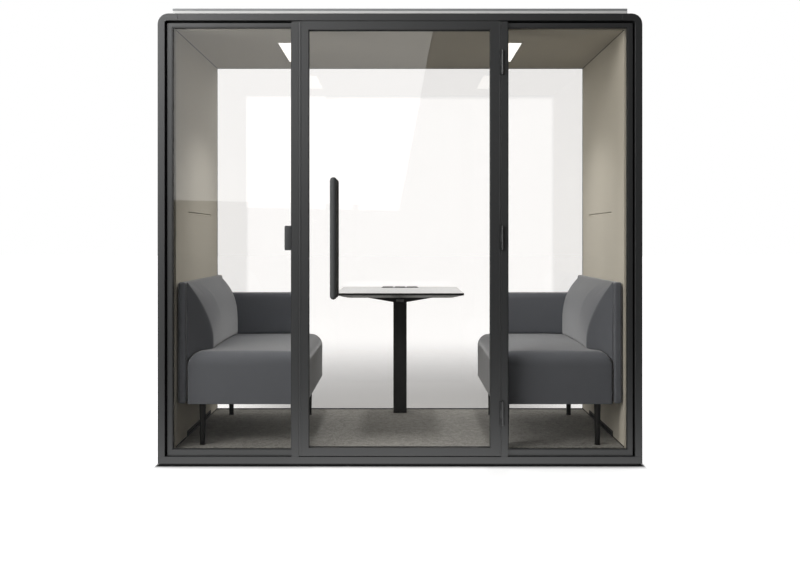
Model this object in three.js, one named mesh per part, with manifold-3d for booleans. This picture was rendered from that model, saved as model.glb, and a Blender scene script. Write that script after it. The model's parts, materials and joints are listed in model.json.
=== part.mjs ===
// Acoustic office pod: a glazed cabin with two facing benches and a table between them.
// Millimetres, +Z up. X runs to the right as seen from the door, and Y from the door to the rear glass.
// The origin lies on the floor, at the middle of the overall width and depth.
import * as THREE from 'three';
import { mergeVertices } from 'three/addons/utils/BufferGeometryUtils.js';
import Module from 'manifold-3d';

// Shell
const podWidth = 2400;
const podDepth = 1200;
const podHeight = 2278.6; // with the lid of the roof plenum
const shellWall = 35;
const cornerRadius = 52;
const innerCornerRadius = 12;
const shellReturn = 100; // run of a side shell along the roof

// Base, feet and floor
const footReach = 12; // floor to the underside of the base band
const plinthClear = 2; // floor to the underside of the plinth
const plinthInset = 15;
const baseBand = 34;
const deckHeight = 28;
const carpetPile = 6;
const footInset = 120;
const footRadius = 30;
const footPad = 10;
const footStemRadius = 7;
const footStem = 24;

// Lining
const wallPanel = 42.5;
const ceilingVoid = 9.8; // roof's underside to the ceiling panel
const ceilingPanel = 25;
const airGap = 15; // air way behind the ceiling's ends and the wall panels
const slitHeight = 14;
const slitLevel = 1261; // middle of the air slit above the floor
const slitSetback = 323; // front glass to the slit's near end
const slitRearGap = 191; // slit's far end to the rear frame
const airWayLength = 300;
const ventHeight = 30;
const ventThickness = 14;
const ventSetback = 286;
const ventRearGap = 210;
const ventProud = 3;
const louvreWidth = 24;
const louvrePitch = 38;
const louvreMargin = 9;

// Ceiling lights
const lightOffset = 532; // middle of the cabin to a light's near side
const lightWidth = 120;
const lightSetback = 345;
const lightRearGap = 236;
const lightRecess = 10;
const lightProud = 2;

// Front frames, jambs and fixed windows
const frameDepth = 66;
const reveal = 10; // dark joint between the shell and a window frame
const sillReveal = 1.5; // the same joint over the base band
const windowSetback = 15;
const windowBar = 23;
const windowHeadBar = 18.8;
const windowSillBar = 29.5;
const flangeSetback = 35; // window frame's front to its wider rear flange
const glassSetback = 24;
const glassThickness = 12;
const glassBite = 10;
const gasketLip = 5;
const gasketDepth = 6;
const jambLip = 5; // gasket's width beside a jamb
const lockJamb = 36;
const hingeJamb = 33;
const jambNotch = 5; // dark joint above a jamb
const jambNotchDepth = 20;

// Door leaf and its stop
const doorOpening = 1002;
const lockGap = 13;
const doorUnderGap = 4;
const doorTopGap = 4;
const leafDepth = 45;
const lockStile = 35.5;
const hingeStile = 45;
const topRail = 42;
const bottomRail = 40;
const doorGlass = 10;
const doorGlassBite = 12;
const sealGap = 1.5;
const stopWidth = 30;

// Pull handles
const handleRadius = 17.5;
const handleLength = 600;
const handleProud = 70.5; // shell front to the front of the outer bar
const handleOffset = 326; // middle of the cabin to the bar
const handleLevel = 1127;
const postSpacing = 480;
const postRadius = 10;
const studRadius = 5;
const studReach = 12; // run of a stud past the glass, into the inner post

// Hinges
const hingeFromFoot = 210; // leaf's foot to the middle of the lower hinge
const hingeFromTop = 202.8;
const hingeHeight = 120;
const knuckleRadius = 7;
const knuckleClear = 0.5; // barrel to the front plane
const pinRadius = 3;
const leafPlate = 3;
const plateGap = 1.4; // between the two plates when the door is shut
const leafReach = 30; // hinge plate's run behind the front plane
const webThickness = 3;
const jambWebOffset = 1;

// Roller lock
const lockLevel = 1129;
const caseHeight = 122;
const caseWidth = 35.5;
const caseSetback = 3;
const caseRadius = 4;
const caseWall = 2.7;
const boltHeight = 30;
const boltThickness = 8;
const boltTravel = 5;
const noseGap = 1.3; // bolt nose to strike plate
const strikeThickness = 2;
const strikeHeight = 80;
const strikeWidth = 16;

// Rear glazing
const rearSetback = 4;
const rearFrameDepth = 24;
const rearGlass = 10;
const rearGlassBite = 10;
const rearSill = 1; // frame's height above the carpet

// Roof plenum, fans and power
const plenumInset = 61;
const plenumSetback = 60;
const plenumHeight = 26;
const plenumWall = 15;
const lidThickness = 11.5;
const ventSlots = 8;
const ventSlotLength = 90;
const ventSlotHeight = 10;
const ventSlotPitch = 110;
const ventSlotCentre = -430;
const fanRadius = 90; // inside of a fan duct
const ductWall = 4;
const ductSpace = 22; // between the two ducts
const ductDrop = 30;
const trayPlate = 4;
const trayFlange = 20;
const bossRadius = 30;
const bossStep = 2; // motor boss above its arms
const armWidth = 10;
const armHeight = 6;
const motorArms = 3;
const shaftRadius = 4;
const hubRadius = 28;
const bladeCount = 7;
const bladeChord = 28;
const bladeThickness = 2.5;
const bladePitch = Math.PI / 5;
const tipGap = 6;
const powerFromEnd = 349; // plenum's right end to the power box
const powerWidth = 300;
const powerDepth = 90;
const powerHeadroom = 6; // power box to the lid
const inletWidth = 50;
const inletStep = 2; // power box above its inlet
const inletMouth = 28;
const inletRim = 3;
const inletDepth = 12;

// Table
const tableWidth = 692;
const tableDepth = 722;
const tableHeight = 752; // above the carpet
const tableThickness = 28;
const tableEdge = 12;
const tableBevel = 60;
const tableCorner = 18;
const tableRearGap = 32;
const columnSide = 80;
const columnWall = 3;
const columnRearGap = 56;
const armReach = 280; // column's middle to the tip of a side arm
const frontArmReach = 430;
const bracketDepth = 60;
const bracketTip = 19;
const bracketArm = 44;
const socketSide = 64;
const socketPitch = 73;
const socketCount = 3;
const socketRise = 4;
const socketSetback = 40; // table's rear edge to the sockets
const socketRecess = 15;
const socketRim = 6;

// Benches
const benchWallGap = 6;
const benchFrontGap = 4; // front frames to the near end
const benchRearGap = 61.4; // far end to the rear frame
const shellPad = 40;
const shellPadHeight = 829; // above the carpet
const shellPadRadius = 12;
const seatDepth = 608;
const seatHeight = 486; // above the carpet, at the crown
const seatUnder = 213; // above the carpet
const seatRound = 62; // along the top edges
const seatRadius = 12; // at the upright corners
const seatCrown = 16;
const seatDraw = 4;
const backBase = 114; // back cushion's thickness at the seat
const backTop = 4;
const backHeight = 825; // above the carpet
const backNearGap = 12; // back shell's near end to the cushion
const backSlant = 1.15; // run of the cushion's near end along the wall, for each unit of its thickness
const backRadius = 6;
const backCrown = 6;
const backFall = 2.8; // power of the curve from the seat to the top edge
const armThickness = 110;
const armLength = 469;
const armTop = 727; // above the carpet
const armRadius = 12;
const armCrown = 5;
const benchDeck = 12;
const benchDeckInset = 34; // seat's edges to the deck
const backFlange = 4; // upright edge of the deck that carries the back shell
const backFlangeHeight = 36;
const legTopRadius = 17;
const legFootRadius = 13;
const glideRadius = 15;
const glideHeight = 5;
const legFromBack = 74; // back shell's face to the legs near the wall
const legFromNose = 71;
const legFromNear = 62;
const legFromFar = 125;

// Clearances and facets
const fit = 0.3; // gap between pieces that touch
const slip = 0.5; // gap round pieces that slide or fold
const overrun = 5; // run of a cutting block past the piece that it cuts
const weldDistance = 0.001;
const roundSides = 16;
const cornerSteps = 5;
const capSteps = 4;
const caseSteps = [4, 4, 4];
const seatSteps = [14, 16, 6];
const backSteps = [4, 12, 8];
const armSteps = [8, 4, 8];
const shellPadSteps = [2, 6, 8];

// Sizes that follow from others
const ductOuter = fanRadius + ductWall;
const fanPitch = 2 * ductOuter + ductSpace;
const bossHeight = armHeight + bossStep;
const hubHeight = bladeChord * Math.sin(bladePitch) + bladeThickness * Math.cos(bladePitch) + 2 * slip;
const powerHeight = plenumHeight - powerHeadroom;
const inletHeight = powerHeight - inletStep;

// Levels, from the floor up
const baseTop = footReach + baseBand;
const deckTop = baseTop + deckHeight;
const floorLevel = deckTop + fit + carpetPile;
const shellTop = podHeight - lidThickness - fit - plenumHeight;
const roofUnder = shellTop - shellWall;
const ceilingUnder = roofUnder - ceilingVoid - ceilingPanel;
const tableTop = floorLevel + tableHeight;
const tableUnder = tableTop - tableThickness;
const leafBottom = baseTop + doorUnderGap;
const leafTop = roofUnder - doorTopGap;

// Planes across the width, from the middle outwards
const halfWidth = podWidth / 2;
const shellInner = halfWidth - shellWall;
const liningOuter = shellInner - fit;
const wallFace = liningOuter - wallPanel;
const openHalf = doorOpening / 2;
const leafLeft = lockGap - openHalf;
const hingeGap = 2 * leafPlate + plateGap + 2 * fit;
const leafRight = openHalf - hingeGap;
const powerOffset = halfWidth - plenumInset - powerFromEnd - powerWidth / 2;

// Planes through the depth, from the door to the rear
const frontFace = (handleProud - podDepth) / 2;
const backFace = frontFace + podDepth;
const midDepth = (frontFace + backFace) / 2;
const windowFront = frontFace + windowSetback;
const frameRear = frontFace + frameDepth;
const glassFront = frontFace + glassSetback;
const glassRear = glassFront + glassThickness;
const leafRear = frontFace + leafDepth;
const doorGlassFront = frontFace + (leafDepth - doorGlass) / 2;
const doorGlassRear = doorGlassFront + doorGlass;
const rearFrameBack = backFace - rearSetback;
const rearFrameFront = rearFrameBack - rearFrameDepth;
const rearGlassFront = rearFrameFront + (rearFrameDepth - rearGlass) / 2;
const cabinFront = frameRear + fit;
const cabinRear = rearFrameFront - fit;
const slitFront = glassRear + slitSetback;
const slitRear = cabinRear - slitRearGap;
const ventFront = glassRear + ventSetback;
const ventRear = cabinRear - ventRearGap;
const lightFront = glassRear + lightSetback;
const lightRear = cabinRear - lightRearGap;

// Finishes
const powderCoat = { color: 0x4a4b4d, roughness: 0.55, metalness: 0.2 };
const blackCoat = { color: 0x1b1b1c, roughness: 0.5, metalness: 0.2 };
const whiteCoat = { color: 0xe9e9e7, roughness: 0.5, metalness: 0.0 };
const rubber = { color: 0x161616, roughness: 0.8, metalness: 0.0 };
const clearGlass = { color: 0xe6efec, roughness: 0.05, metalness: 0.0, transparent: true, opacity: 0.25 };
const felt = { color: 0xa9a496, roughness: 0.95, metalness: 0.0 };
const loopPile = { color: 0x67645d, roughness: 1.0, metalness: 0.0 };
const diffuser = { color: 0xffffff, roughness: 0.4, metalness: 0.0 };
const laminate = { color: 0xe2e2e0, roughness: 0.35, metalness: 0.0 };
const upholstery = { color: 0x55575b, roughness: 0.95, metalness: 0.0 };
const steel = { color: 0x9a9c9e, roughness: 0.35, metalness: 0.9 };
const darkPlastic = { color: 0x202122, roughness: 0.6, metalness: 0.0 };

const wasm = await Module();
wasm.setup();
const pod = new THREE.Group();

// Name a piece, give it its finish and add it to the pod
function piece(name, geometry, look) {
  geometry.computeVertexNormals();
  const mesh = new THREE.Mesh(geometry, new THREE.MeshStandardMaterial(look));
  mesh.name = name;
  pod.add(mesh);
}

// Merge the vertices that faces share
function weld(geometry) {
  geometry.deleteAttribute('normal');
  geometry.deleteAttribute('uv');
  return mergeVertices(geometry, weldDistance);
}

// Closed geometry as a solid for joining and cutting
function solid(geometry) {
  const welded = weld(geometry.clone());
  const vertProperties = new Float32Array(welded.attributes.position.array);
  const triVerts = new Uint32Array(welded.index.array);
  return new wasm.Manifold(new wasm.Mesh({ numProp: 3, vertProperties, triVerts }));
}

// A joined or cut solid back as geometry
function surface(body) {
  const mesh = body.getMesh();
  const geometry = new THREE.BufferGeometry();
  geometry.setAttribute('position', new THREE.BufferAttribute(new Float32Array(mesh.vertProperties), 3));
  geometry.setIndex(new THREE.BufferAttribute(new Uint32Array(mesh.triVerts), 1));
  return geometry;
}

// Several closed shapes as one
function join(...shapes) {
  return surface(shapes.map(solid).reduce((sum, next) => sum.add(next)));
}

// A shape with others taken out of it
function cut(shape, ...tools) {
  return surface(tools.map(solid).reduce((rest, tool) => rest.subtract(tool), solid(shape)));
}

// A box between two values on each axis, in either order
function block(xa, xb, ya, yb, za, zb) {
  const box = new THREE.BoxGeometry(Math.abs(xb - xa), Math.abs(yb - ya), Math.abs(zb - za));
  return box.translate((xa + xb) / 2, (ya + yb) / 2, (za + zb) / 2);
}

// An upright round bar, with its radius at the foot if that differs
function upright(radius, x, y, low, high, footRadiusHere = radius) {
  const bar = new THREE.CylinderGeometry(radius, footRadiusHere, high - low, roundSides);
  return bar.rotateX(Math.PI / 2).translate(x, y, (low + high) / 2);
}

// A round bar that runs from front to back
function through(radius, x, z, front, rear) {
  const bar = new THREE.CylinderGeometry(radius, radius, rear - front, roundSides);
  return bar.translate(x, (front + rear) / 2, z);
}

// An outline in X and Z, drawn from front to back
function drawnBack(points, front, rear) {
  const settings = { depth: rear - front, bevelEnabled: false };
  const drawn = new THREE.ExtrudeGeometry(new THREE.Shape(points), settings);
  return drawn.rotateX(Math.PI / 2).translate(0, rear, 0);
}

// Points of an arc about a centre
function arc(x, y, radius, from, to) {
  const points = [];
  for (let step = 0; step <= cornerSteps; step += 1) {
    const angle = from + ((to - from) * step) / cornerSteps;
    points.push(new THREE.Vector2(x + radius * Math.cos(angle), y + radius * Math.sin(angle)));
  }
  return points;
}

// A closed skin over level outlines that have the same number of points, from the bottom up
function loft(outlines, levels) {
  const count = outlines[0].length;
  const positions = [];
  outlines.forEach((outline, row) => outline.forEach((p) => positions.push(p.x, p.y, levels[row])));
  const index = [];
  for (let row = 0; row + 1 < outlines.length; row += 1) {
    for (let here = 0; here < count; here += 1) {
      const a = row * count + here;
      const b = row * count + ((here + 1) % count);
      index.push(a, b, b + count, a, b + count, a + count);
    }
  }
  const top = (outlines.length - 1) * count;
  for (let here = 1; here + 1 < count; here += 1) {
    index.push(0, here + 1, here, top, top + here, top + here + 1);
  }
  const geometry = new THREE.BufferGeometry();
  geometry.setAttribute('position', new THREE.Float32BufferAttribute(positions, 3));
  geometry.setIndex(index);
  return geometry;
}

// A rectangle with round corners, in plan
function roundedPlan(x0, x1, y0, y1, radius) {
  const turn = Math.PI / 2;
  return [
    ...arc(x1 - radius, y1 - radius, radius, 0, turn),
    ...arc(x0 + radius, y1 - radius, radius, turn, 2 * turn),
    ...arc(x0 + radius, y0 + radius, radius, 2 * turn, 3 * turn),
    ...arc(x1 - radius, y0 + radius, radius, 3 * turn, 4 * turn),
  ];
}

// A box with round edges, its rows closer near the edges, reshaped point by point by form
function pillow(low, high, radius, steps, form) {
  const half = new THREE.Vector3().subVectors(high, low).multiplyScalar(0.5);
  const middle = low.clone().add(half);
  const core = half.clone().subScalar(radius);
  const negativeCore = core.clone().negate();
  const box = new THREE.BoxGeometry(2, 2, 2, ...steps);
  const position = box.attributes.position;
  const point = new THREE.Vector3();
  const inner = new THREE.Vector3();
  for (let index = 0; index < position.count; index += 1) {
    point.fromBufferAttribute(position, index).multiplyScalar(Math.PI / 2);
    point.set(Math.sin(point.x), Math.sin(point.y), Math.sin(point.z)).multiply(half);
    inner.copy(point).clamp(negativeCore, core);
    point.sub(inner).setLength(radius).add(inner);
    form(point, half);
    point.add(middle);
    position.setXYZ(index, point.x, point.y, point.z);
  }
  return weld(box);
}

// A pillow that keeps its plain rounded shape
function plainForm() {}

// Take a shape drawn outwards from the wall's face to the left or right wall
function atWall(geometry, side) {
  const position = geometry.attributes.position;
  for (let index = 0; index < position.count; index += 1) {
    position.setX(index, side * (wallFace - position.getX(index)));
  }
  if (side > 0) {
    const order = geometry.index.array;
    for (let first = 0; first < order.length; first += 3) {
      [order[first], order[first + 1]] = [order[first + 1], order[first]];
    }
  }
  return geometry;
}

// The sides of the cabin: left is -1 and right is +1
const sides = { left: -1, right: 1 };
const rows = { front: frontFace + footInset, rear: backFace - footInset };

// Base frame: recessed plinth, base band and raised deck, with a pocket for each foot
function baseFrame() {
  const plinthHalf = halfWidth - plinthInset;
  const plinth = block(
    -plinthHalf, plinthHalf, frontFace + plinthInset, backFace - plinthInset, plinthClear, baseTop,
  );
  const band = block(-halfWidth, halfWidth, frontFace, backFace, footReach, baseTop);
  const deck = block(-liningOuter, liningOuter, cabinFront, cabinRear, footReach, deckTop);
  const pockets = [];
  for (const side of Object.values(sides)) {
    for (const depth of Object.values(rows)) {
      const x = side * (halfWidth - footInset);
      pockets.push(upright(footRadius + slip, x, depth, -overrun, footPad + fit));
      pockets.push(upright(footStemRadius + fit, x, depth, 0, footPad + footStem + fit));
    }
  }
  return cut(join(plinth, band, deck), ...pockets);
}

// Levelling foot: pad with a threaded stem that carries the base
function levellingFoot(x, y) {
  const pad = upright(footRadius, x, y, 0, footPad);
  const stem = upright(footStemRadius, x, y, 0, footPad + footStem);
  return join(pad, stem);
}

piece('base_frame', baseFrame(), powderCoat);
for (const [row, depth] of Object.entries(rows)) {
  for (const [name, side] of Object.entries(sides)) {
    piece(`levelling_foot_${row}_${name}`, levellingFoot(side * (halfWidth - footInset), depth), rubber);
  }
}
const carpetHalf = wallFace - fit;
const carpetSheet = block(-carpetHalf, carpetHalf, cabinFront, cabinRear, deckTop + fit, floorLevel);
piece('carpet', carpetSheet, loopPile);

// Side shell: wall that turns over a round corner into a short run of the roof
function sideShell(side) {
  const foot = baseTop + fit;
  const turn = Math.PI / 2;
  const outline = [
    new THREE.Vector2(halfWidth, foot),
    ...arc(halfWidth - cornerRadius, shellTop - cornerRadius, cornerRadius, 0, turn),
    new THREE.Vector2(halfWidth - shellReturn, shellTop),
    new THREE.Vector2(halfWidth - shellReturn, roofUnder),
    ...arc(shellInner - innerCornerRadius, roofUnder - innerCornerRadius, innerCornerRadius, turn, 0),
    new THREE.Vector2(shellInner, foot),
  ];
  outline.forEach((point) => point.setX(side * point.x));
  return drawnBack(outline, frontFace, backFace);
}

// Roof shell: flat panel between the two side shells, with a hole for the fans
function roofShell() {
  const half = halfWidth - shellReturn - fit;
  const panel = block(-half, half, frontFace, backFace, roofUnder, shellTop);
  const duct = ductOuter + slip;
  const hole = block(
    -fanPitch / 2 - duct, fanPitch / 2 + duct, midDepth - duct, midDepth + duct,
    roofUnder - overrun, shellTop + overrun,
  );
  return cut(panel, hole);
}

for (const [name, side] of Object.entries(sides)) {
  piece(`${name}_side_shell`, sideShell(side), powderCoat);
}
piece('roof_shell', roofShell(), powderCoat);

// Wall panel: felt-faced absorber with an air slit, an air way behind it and a pocket for the low vent
function feltWall(side) {
  const panel = block(
    side * wallFace, side * liningOuter, cabinFront, cabinRear, deckTop + fit, ceilingUnder - fit,
  );
  const slit = block(
    side * (wallFace - overrun), side * (liningOuter + overrun), slitFront, slitRear,
    slitLevel - slitHeight / 2, slitLevel + slitHeight / 2,
  );
  const wayMiddle = (slitFront + slitRear) / 2;
  const airWay = block(
    side * (liningOuter - airGap), side * (liningOuter + overrun),
    wayMiddle - airWayLength / 2, wayMiddle + airWayLength / 2, slitLevel, ceilingUnder + overrun,
  );
  const pocket = block(
    side * (wallFace - overrun), side * (wallFace + ventThickness - ventProud + fit),
    ventFront - fit, ventRear + fit, floorLevel, floorLevel + ventHeight + 2 * fit,
  );
  return cut(panel, slit, airWay, pocket);
}

// Low vent: black bar with upright louvre slots, set into the foot of the wall
function lowVent(side) {
  const outer = wallFace - ventProud;
  const low = floorLevel + fit;
  const bar = block(
    side * outer, side * (outer + ventThickness), ventFront, ventRear, low, low + ventHeight,
  );
  const count = Math.floor((ventRear - ventFront - louvreMargin) / louvrePitch);
  const start = (ventFront + ventRear - (count - 1) * louvrePitch) / 2;
  const slots = [];
  for (let index = 0; index < count; index += 1) {
    const middle = start + index * louvrePitch;
    slots.push(block(
      side * (outer - overrun), side * (outer + ventThickness + overrun),
      middle - louvreWidth / 2, middle + louvreWidth / 2, low + louvreMargin, low + ventHeight - louvreMargin,
    ));
  }
  return cut(bar, ...slots);
}

// Ceiling panel: felt-faced board on top of the wall panels, with a recess for each light
function feltCeiling() {
  const half = liningOuter - airGap;
  const panel = block(-half, half, cabinFront, cabinRear, ceilingUnder, ceilingUnder + ceilingPanel);
  const recesses = Object.values(sides).map((side) => block(
    side * lightOffset, side * (lightOffset + lightWidth), lightFront, lightRear,
    ceilingUnder - overrun, ceilingUnder + lightRecess,
  ));
  return cut(panel, ...recesses);
}

// Light panel: shallow tray with an opal face, held in its recess
function lightPanel(side) {
  return block(
    side * (lightOffset + fit), side * (lightOffset + lightWidth - fit),
    lightFront + fit, lightRear - fit,
    ceilingUnder - lightProud, ceilingUnder + lightRecess - fit,
  );
}

for (const [name, side] of Object.entries(sides)) {
  piece(`${name}_wall_panel`, feltWall(side), felt);
  piece(`${name}_floor_vent`, lowVent(side), blackCoat);
  piece(`${name}_light_panel`, lightPanel(side), diffuser);
}
piece('ceiling_panel', feltCeiling(), felt);

// A square taken out of a frame's upper corners, where the shell is round inside
function shellCorners(signs) {
  const reach = liningOuter - innerCornerRadius;
  const level = roofUnder - fit - innerCornerRadius;
  return signs.map((sign) => block(
    sign * reach, sign * (halfWidth + overrun), frontFace, backFace, level, shellTop,
  ));
}

// Fixed window: three-sided frame that meets a jamb, with its gasket and its glass
const windowOuter = shellInner - reveal;
const windowInner = windowOuter - windowBar;
const windowHead = roofUnder - reveal - windowHeadBar;
const windowSill = baseTop + sillReveal + windowSillBar;
const jambWidths = { left: lockJamb, right: hingeJamb };

function windowFrame(side, jambFace) {
  const meet = side * (jambFace + fit);
  const bar = block(
    side * windowOuter, meet, windowFront, frameRear, windowSill - windowSillBar, windowHead + windowHeadBar,
  );
  const flange = block(
    side * liningOuter, meet, windowFront + flangeSetback, frameRear, baseTop + fit, roofUnder - fit,
  );
  const opening = block(
    side * windowInner, side * (jambFace - overrun), frontFace, frameRear + overrun, windowSill, windowHead,
  );
  const groove = block(
    side * (windowInner + glassBite + fit), side * (jambFace - overrun), glassFront - fit, glassRear + fit,
    windowSill - glassBite - fit, windowHead + glassBite + fit,
  );
  return cut(join(bar, flange), opening, groove, ...shellCorners([side]));
}

function windowGasket(side, jambFace) {
  const front = glassFront - fit - gasketDepth;
  const rear = glassFront - fit;
  const ring = block(
    side * (windowInner - fit), side * (jambFace + fit), front, rear, windowSill + fit, windowHead - fit,
  );
  const sight = block(
    side * (windowInner - gasketLip), side * (jambFace + jambLip), front - overrun, rear + overrun,
    windowSill + gasketLip, windowHead - gasketLip,
  );
  return cut(ring, sight);
}

function windowPane(side, jambFace) {
  return block(
    side * (windowInner + glassBite), side * (jambFace - glassBite), glassFront, glassRear,
    windowSill - glassBite, windowHead + glassBite,
  );
}

// Jamb: upright post beside the door, grooved for the window's glass, with a dark joint above it
function jamb(side, jambFace) {
  const post = block(side * openHalf, side * jambFace, frontFace, frameRear, baseTop + fit, roofUnder - fit);
  const groove = block(
    side * (jambFace - glassBite - fit), side * (jambFace + overrun), glassFront - fit, glassRear + fit,
    windowSill - glassBite - fit, windowHead + glassBite + fit,
  );
  const notch = block(
    side * (openHalf - overrun), side * (jambFace + overrun), frontFace - overrun, frontFace + jambNotchDepth,
    roofUnder - jambNotch, roofUnder,
  );
  return cut(post, groove, notch);
}

// Roller lock: its middle plane, and the bolt's ends at rest
const lockFace = openHalf + lockJamb;
const caseFront = frontFace + caseSetback;
const caseRear = glassFront - gasketDepth - 2 * fit;
const boltMiddle = (caseFront + caseRear) / 2;
const boltNose = leafLeft - fit - strikeThickness - noseGap;
const boltEnd = -lockFace - caseWidth + caseWall + slip + boltTravel;

// The space that the bolt slides in, from one X to another
function boltWay(from, to) {
  const halfThick = boltThickness / 2 + slip;
  const halfHigh = boltHeight / 2 + slip;
  return block(
    from, to, boltMiddle - halfThick, boltMiddle + halfThick, lockLevel - halfHigh, lockLevel + halfHigh,
  );
}

for (const [name, side] of Object.entries(sides)) {
  const jambFace = openHalf + jambWidths[name];
  piece(`${name}_window_frame`, windowFrame(side, jambFace), powderCoat);
  piece(`${name}_window_gasket`, windowGasket(side, jambFace), rubber);
  piece(`${name}_window_glass`, windowPane(side, jambFace), clearGlass);
}
const lockHole = boltWay(-lockFace - overrun, overrun - openHalf);
piece('left_jamb', cut(jamb(sides.left, lockFace), lockHole), powderCoat);
piece('right_jamb', jamb(sides.right, openHalf + hingeJamb), powderCoat);

// Lock case: small rounded housing on the jamb, hollow for the bolt
function lockCase() {
  const low = new THREE.Vector3(-lockFace - fit - caseWidth, caseFront, lockLevel - caseHeight / 2);
  const high = new THREE.Vector3(-lockFace - fit, caseRear, lockLevel + caseHeight / 2);
  const housing = pillow(low, high, caseRadius, caseSteps, plainForm);
  return cut(housing, boltWay(-lockFace - fit - caseWidth + caseWall, overrun - lockFace));
}

// Roller bolt: bar with a round nose that the door's edge pushes back
function rollerBolt() {
  const front = boltMiddle - boltThickness / 2;
  const rear = boltMiddle + boltThickness / 2;
  const noseRadius = boltHeight / 2;
  const noseX = boltNose - noseRadius;
  const bar = block(boltEnd, noseX, front, rear, lockLevel - noseRadius, lockLevel + noseRadius);
  return join(bar, through(noseRadius, noseX, lockLevel, front, rear));
}

// Strike plate: small plate on the door's edge, opposite the bolt
function strikePlate() {
  return block(
    leafLeft - fit - strikeThickness, leafLeft - fit,
    boltMiddle - strikeWidth / 2, boltMiddle + strikeWidth / 2,
    lockLevel - strikeHeight / 2, lockLevel + strikeHeight / 2,
  );
}

piece('lock_case', lockCase(), powderCoat);
piece('roller_bolt', rollerBolt(), steel);
piece('strike_plate', strikePlate(), steel);

// Door stop: frame behind the leaf that carries the seal
function doorStop() {
  const half = openHalf - fit;
  const front = leafRear + sealGap;
  const frame = block(-half, half, front, frameRear, baseTop + fit, roofUnder - fit);
  const opening = block(
    -half + stopWidth, half - stopWidth, front - overrun, frameRear + overrun,
    baseTop + stopWidth, roofUnder - stopWidth,
  );
  return cut(frame, opening);
}

// Door frame: stiles and rails round a groove for the glass
const doorSight = {
  left: leafLeft + lockStile,
  right: leafRight - hingeStile,
  low: leafBottom + bottomRail,
  high: leafTop - topRail,
};

function doorFrame() {
  const leaf = block(leafLeft, leafRight, frontFace, leafRear, leafBottom, leafTop);
  const opening = block(
    doorSight.left, doorSight.right, frontFace - overrun, leafRear + overrun, doorSight.low, doorSight.high,
  );
  const bite = doorGlassBite + fit;
  const groove = block(
    doorSight.left - bite, doorSight.right + bite, doorGlassFront - fit, doorGlassRear + fit,
    doorSight.low - bite, doorSight.high + bite,
  );
  return cut(leaf, opening, groove);
}

// Heights of the two posts of a pull handle
const postLevels = [handleLevel - postSpacing / 2, handleLevel + postSpacing / 2];

// Door glass: one pane with a hole for each handle stud
function doorPane() {
  const pane = block(
    doorSight.left - doorGlassBite, doorSight.right + doorGlassBite, doorGlassFront, doorGlassRear,
    doorSight.low - doorGlassBite, doorSight.high + doorGlassBite,
  );
  const holes = postLevels.map((level) => through(
    studRadius + fit, -handleOffset, level, doorGlassFront - overrun, doorGlassRear + overrun,
  ));
  return cut(pane, ...holes);
}

// The bars stand at the same distance on both sides of the glass
const outerBar = frontFace - handleProud + handleRadius;
const barDistance = doorGlassFront - outerBar;
const innerBar = doorGlassRear + barDistance;

function handleBar(depth) {
  const straight = handleLength - 2 * handleRadius;
  const bar = new THREE.CapsuleGeometry(handleRadius, straight, capSteps, roundSides);
  return bar.rotateX(Math.PI / 2).translate(-handleOffset, depth, handleLevel);
}

// Outer handle: bar, two posts and the studs that go through the glass
function outerHandle() {
  const posts = postLevels.map((level) => through(
    postRadius, -handleOffset, level, outerBar, doorGlassFront - fit,
  ));
  const studs = postLevels.map((level) => through(
    studRadius, -handleOffset, level, outerBar, doorGlassRear + studReach,
  ));
  return join(handleBar(outerBar), ...posts, ...studs);
}

// Inner handle: the same bar and posts, bored for the studs
function innerHandle() {
  const posts = postLevels.map((level) => through(
    postRadius, -handleOffset, level, doorGlassRear + fit, innerBar,
  ));
  const bores = postLevels.map((level) => through(
    studRadius + fit, -handleOffset, level, doorGlassRear - overrun, doorGlassRear + studReach + fit,
  ));
  return cut(join(handleBar(innerBar), ...posts), ...bores);
}

piece('door_stop_frame', doorStop(), blackCoat);
piece('door_frame', doorFrame(), powderCoat);
piece('door_glass', doorPane(), clearGlass);
piece('outer_handle', outerHandle(), powderCoat);
piece('inner_handle', innerHandle(), powderCoat);

// Hinges: the barrel stands just in front of the jamb, and both plates lie in the door's hinge gap
const hingeX = openHalf + knuckleRadius + knuckleClear;
const hingeY = frontFace - knuckleRadius - knuckleClear;
const knuckle = hingeHeight / 3;
const lowerHinge = leafBottom + hingeFromFoot;
const upperHinge = leafTop - hingeFromTop;
const hingeLevels = { lower: lowerHinge, middle: (lowerHinge + upperHinge) / 2, upper: upperHinge };

// Jamb leaf: plate, two outer knuckles on webs, and the pin
function hingeJambLeaf(middle) {
  const low = middle - hingeHeight / 2;
  const high = middle + hingeHeight / 2;
  const plateRight = openHalf - fit;
  const plateFront = hingeY + webThickness;
  const plate = block(plateRight - leafPlate, plateRight, plateFront, frontFace + leafReach, low, high);
  const pin = upright(pinRadius, hingeX, hingeY, low, high);
  const ends = [[low, low + knuckle - fit], [high - knuckle + fit, high]];
  const barrels = ends.flatMap(([from, to]) => [
    upright(knuckleRadius, hingeX, hingeY, from, to),
    block(
      plateRight - leafPlate, hingeX, hingeY + jambWebOffset, hingeY + jambWebOffset + webThickness, from, to,
    ),
  ]);
  return join(plate, pin, ...barrels);
}

// Door leaf: plate on the door's edge and the middle knuckle, bored for the pin
function hingeDoorLeaf(middle) {
  const plateLeft = leafRight + fit;
  const webFront = hingeY - webThickness / 2;
  const webRear = hingeY + webThickness / 2;
  const plate = block(
    plateLeft, plateLeft + leafPlate, webFront, frontFace + leafReach,
    middle - hingeHeight / 2, middle + hingeHeight / 2,
  );
  const web = block(plateLeft, hingeX, webFront, webRear, middle - knuckle / 2, middle + knuckle / 2);
  const barrel = upright(knuckleRadius, hingeX, hingeY, middle - knuckle / 2, middle + knuckle / 2);
  const bore = upright(pinRadius + fit, hingeX, hingeY, middle - hingeHeight, middle + hingeHeight);
  return cut(join(plate, web, barrel), bore);
}

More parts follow.
